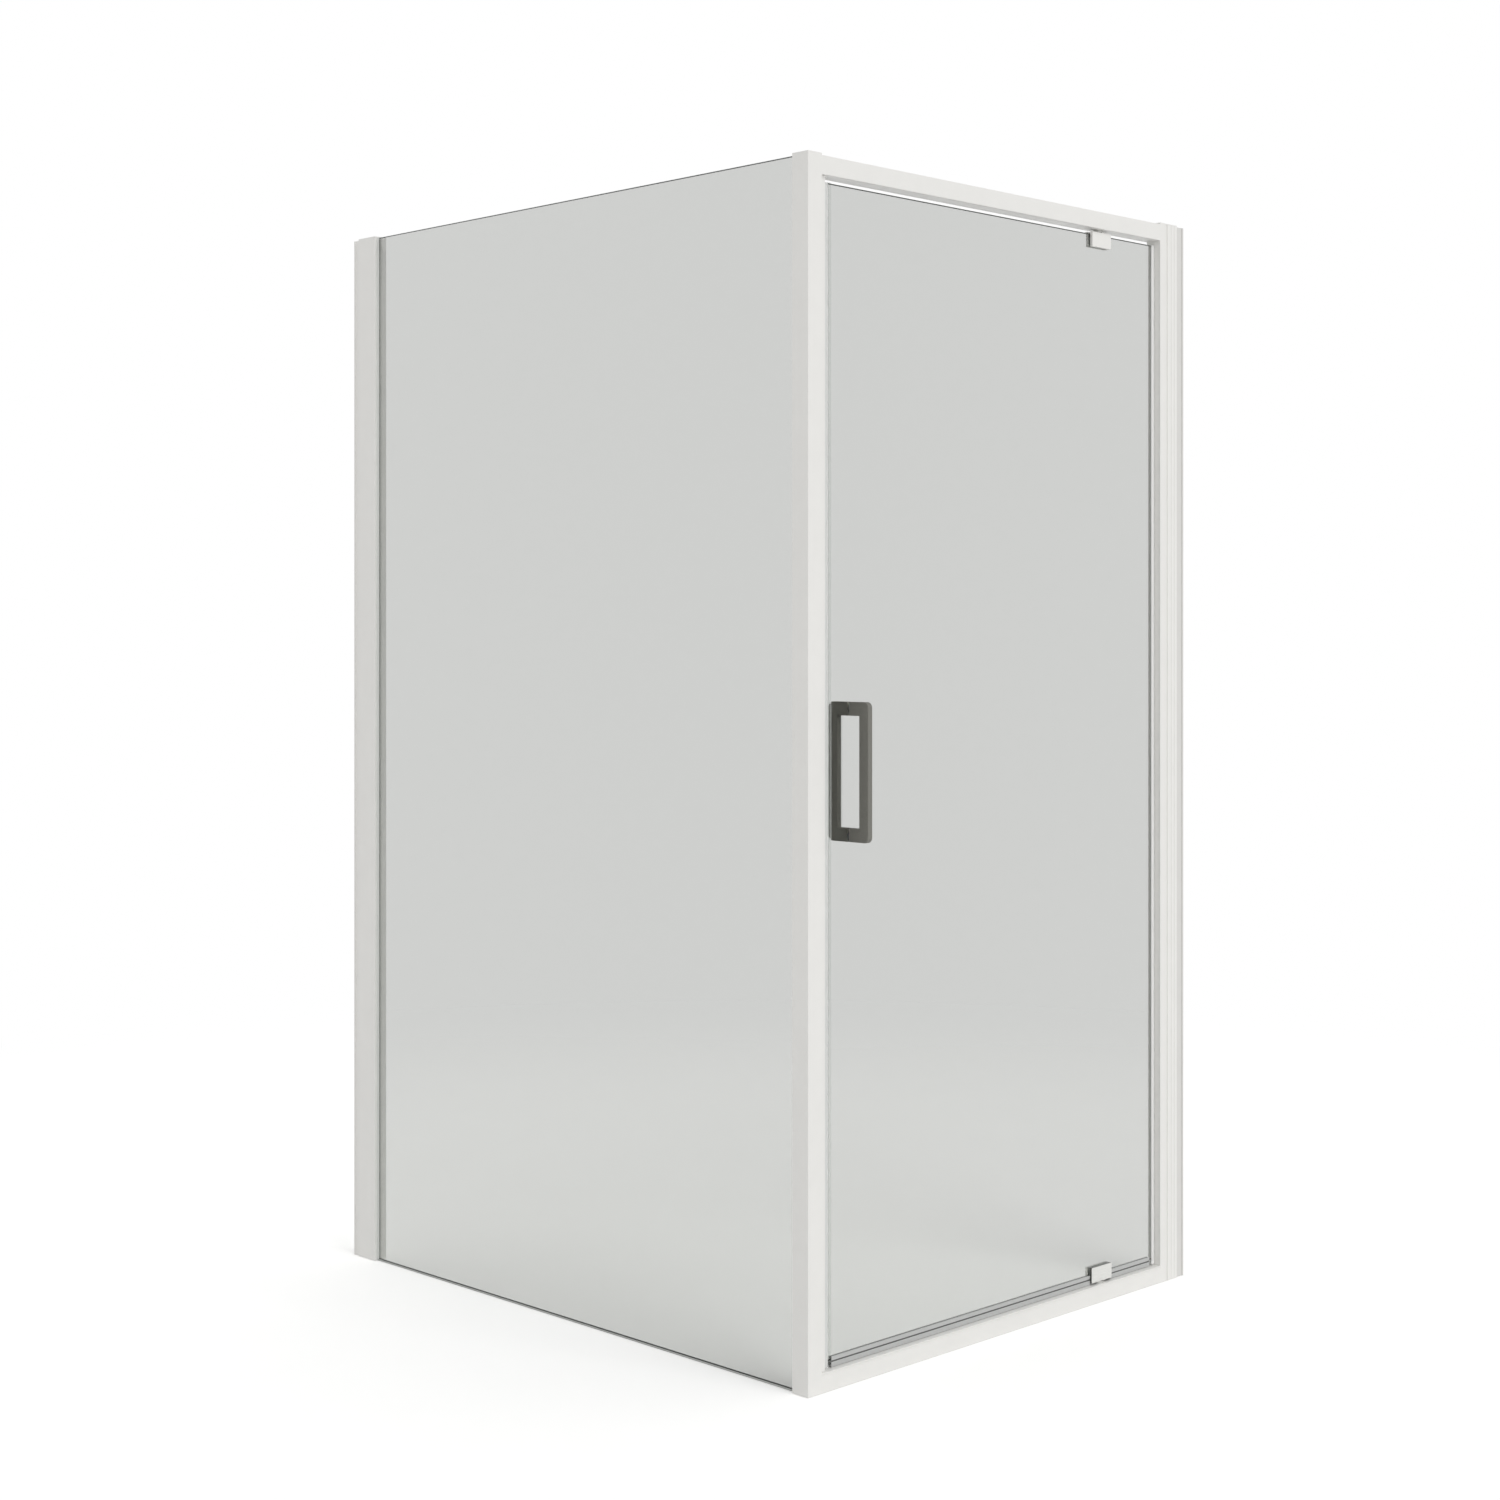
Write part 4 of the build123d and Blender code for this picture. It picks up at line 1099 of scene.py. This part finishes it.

# Drip seals: two lengths of smoky grey PVC pushed on the glass's lower edge, one each side of the
# bottom clamp. Each grips the glass with two legs, and two thin fins hang from its web over the
# sill. The web runs round to the front as a groove. The groove's front is painted dark: the grade is
# thickest at the web, and the dark also stands as painted shade in the groove.


def smoky(name, light, dark):
    """Smoky PVC: a tone drawn out in streaks along the extrusion, with a soft shine."""
    made, tree, place = material(name)
    along = add(tree, "ShaderNodeMapping", values={"Scale": (0.1, 1.0, 1.0)}, links={"Vector": place})
    bands = {"Scale": 1000 / 3.0, "Detail": 3.0}
    streaks = add(tree, "ShaderNodeTexNoise", values=bands, links={"Vector": along.outputs[0]})
    tone = add(
        tree,
        "ShaderNodeMix",
        {"data_type": "RGBA"},
        {"A": linear(light), "B": linear(dark)},
        {"Factor": streaks.outputs[0]},
    )
    soft = add(
        tree,
        "ShaderNodeBsdfPrincipled",
        values={"Roughness": 0.3, "IOR": 1.53},
        links={"Base Color": tone.outputs["Result"]},
    )
    add(tree, "ShaderNodeOutputMaterial", links={"Surface": soft.outputs[0]})
    return made


grey_pvc = smoky("smoky_grey_pvc", "#C2C3C2", "#B4B5B4")
shaded_web_pvc = smoky("dark_web_pvc_painted_shade", "#626362", "#545554")
groove_foot, groove_head, groove_back = -2.2, 0.2, -0.5
legs_and_fins = [
    (-1.8, -10.5, 0.3),
    (-0.6, -10.5, 0.3),
    (-0.1, -2.8, 0.4),
    (6.1, -2.8, 0.4),
    (6.6, -10.5, 0.3),
    (7.8, -10.5, 0.3),
    (7.8, 6.3, 0.6),
    (6.05, 6.3, 0.2),
    (6.35, 4.4, 0),
    (6.35, -0.2, 0.3),
    (-0.35, -0.2, 0.3),
    (-0.35, 4.4, 0),
    (-0.05, 6.3, 0.2),
    (-1.8, 6.3, 0.6),
    (-1.8, groove_head, 0.2),
    (-1.0, groove_head - 0.4, 0),
    (-1.0, groove_foot + 0.4, 0),
    (-1.8, groove_foot, 0.2),
]
slip_fit = 0.2
near, far = span("drip_seals", "x")
clamp_near, clamp_far = span("bottom_clamp_outer", "x")
both = bmesh.new()
for start, end in ((near, clamp_near - slip_fit), (clamp_far + slip_fit, far)):
    length = extruded(
        grey_pvc,
        [rounded(legs_and_fins)],
        lambda point: Vector((start, door_front + point.x, foot + point.y)),
        (end - start, 0, 0),
    )
    length_mesh = bpy.data.meshes.new("length")
    length.to_mesh(length_mesh)
    length.free()
    both.from_mesh(length_mesh)
# The groove's front faces get the dark tone, partly painted shade in the groove.
for face in both.faces:
    centre = face.calc_center_median() * 1000
    at_web = groove_foot < centre.z - foot < groove_head
    in_front = centre.y - door_front < groove_back
    lengthwise = abs(face.normal.x) < 0.5
    if at_web and in_front and lengthwise:
        face.material_index = 1
finished("door_drip_seals", both, [grey_pvc, shaded_web_pvc], "door", "smoky_seal", "drip_seals")

# Handles: two flat-bar D handles of aluminium, back to back through the glass. Their coat is a dark
# grey structure powder, which cures to a fine even grit of about 0.4 mm, drawn here at 1 mm. The
# inner one has the same coat painted a shade lighter, as painted light that evens out the grey of the
# glass that it is seen through.


def structure_coated(name, low, high):
    """Matt structure powder: grit about 1 mm across, with its own relief."""
    made, tree, place = material(name)
    grains = {"Scale": 1000 / 1.0, "Detail": 3.0}
    grit = add(tree, "ShaderNodeTexNoise", values=grains, links={"Vector": place})
    cells = {"Scale": 1000 / 1.4}
    speck = add(tree, "ShaderNodeTexVoronoi", {"feature": "F1"}, cells, {"Vector": place})
    both = {0: grit.outputs[0], 1: speck.outputs["Distance"]}
    specks = add(tree, "ShaderNodeMath", product, links=both)
    tone = add(
        tree,
        "ShaderNodeMix",
        {"data_type": "RGBA"},
        {"A": linear(low), "B": linear(high)},
        {"Factor": specks.outputs[0]},
    )
    relief = {"Strength": 0.8, "Distance": 0.00004}
    rough = add(tree, "ShaderNodeBump", values=relief, links={"Height": grit.outputs[0]})
    bar = add(
        tree,
        "ShaderNodeBsdfPrincipled",
        values={"Roughness": 0.62, "IOR": 1.5},
        links={"Base Color": tone.outputs["Result"], "Normal": rough.outputs[0]},
    )
    add(tree, "ShaderNodeOutputMaterial", links={"Surface": bar.outputs[0]})
    return made


outer_coat = structure_coated("dark_grey_structure_powder_coat", "#6F6E68", "#8B8A83")
coat_nodes(outer_coat, "outer_handle")
# The inner handle's lighter tone is painted light, not a different coat.
inner_coat_painted_lighter = structure_coated("grey_structure_powder_coat", "#82817B", "#A2A199")
coat_nodes(inner_coat_painted_lighter, "inner_handle")

# Handle pads and sleeves: nylon again, dyed grey like the bars, as pads between the bars and the
# glass and as sleeves that keep studs and screws off the glass in its holes. Their grey is painted
# paler than the bars', as painted light in the shaded seam between each bar and the glass.
grey_nylon_painted_paler = moulded_nylon("moulded_grey_nylon", "#AFAEA8", "#A4A39D")
coat_nodes(grey_nylon_painted_paler, "glass_hole_sleeves", "handle_pads")
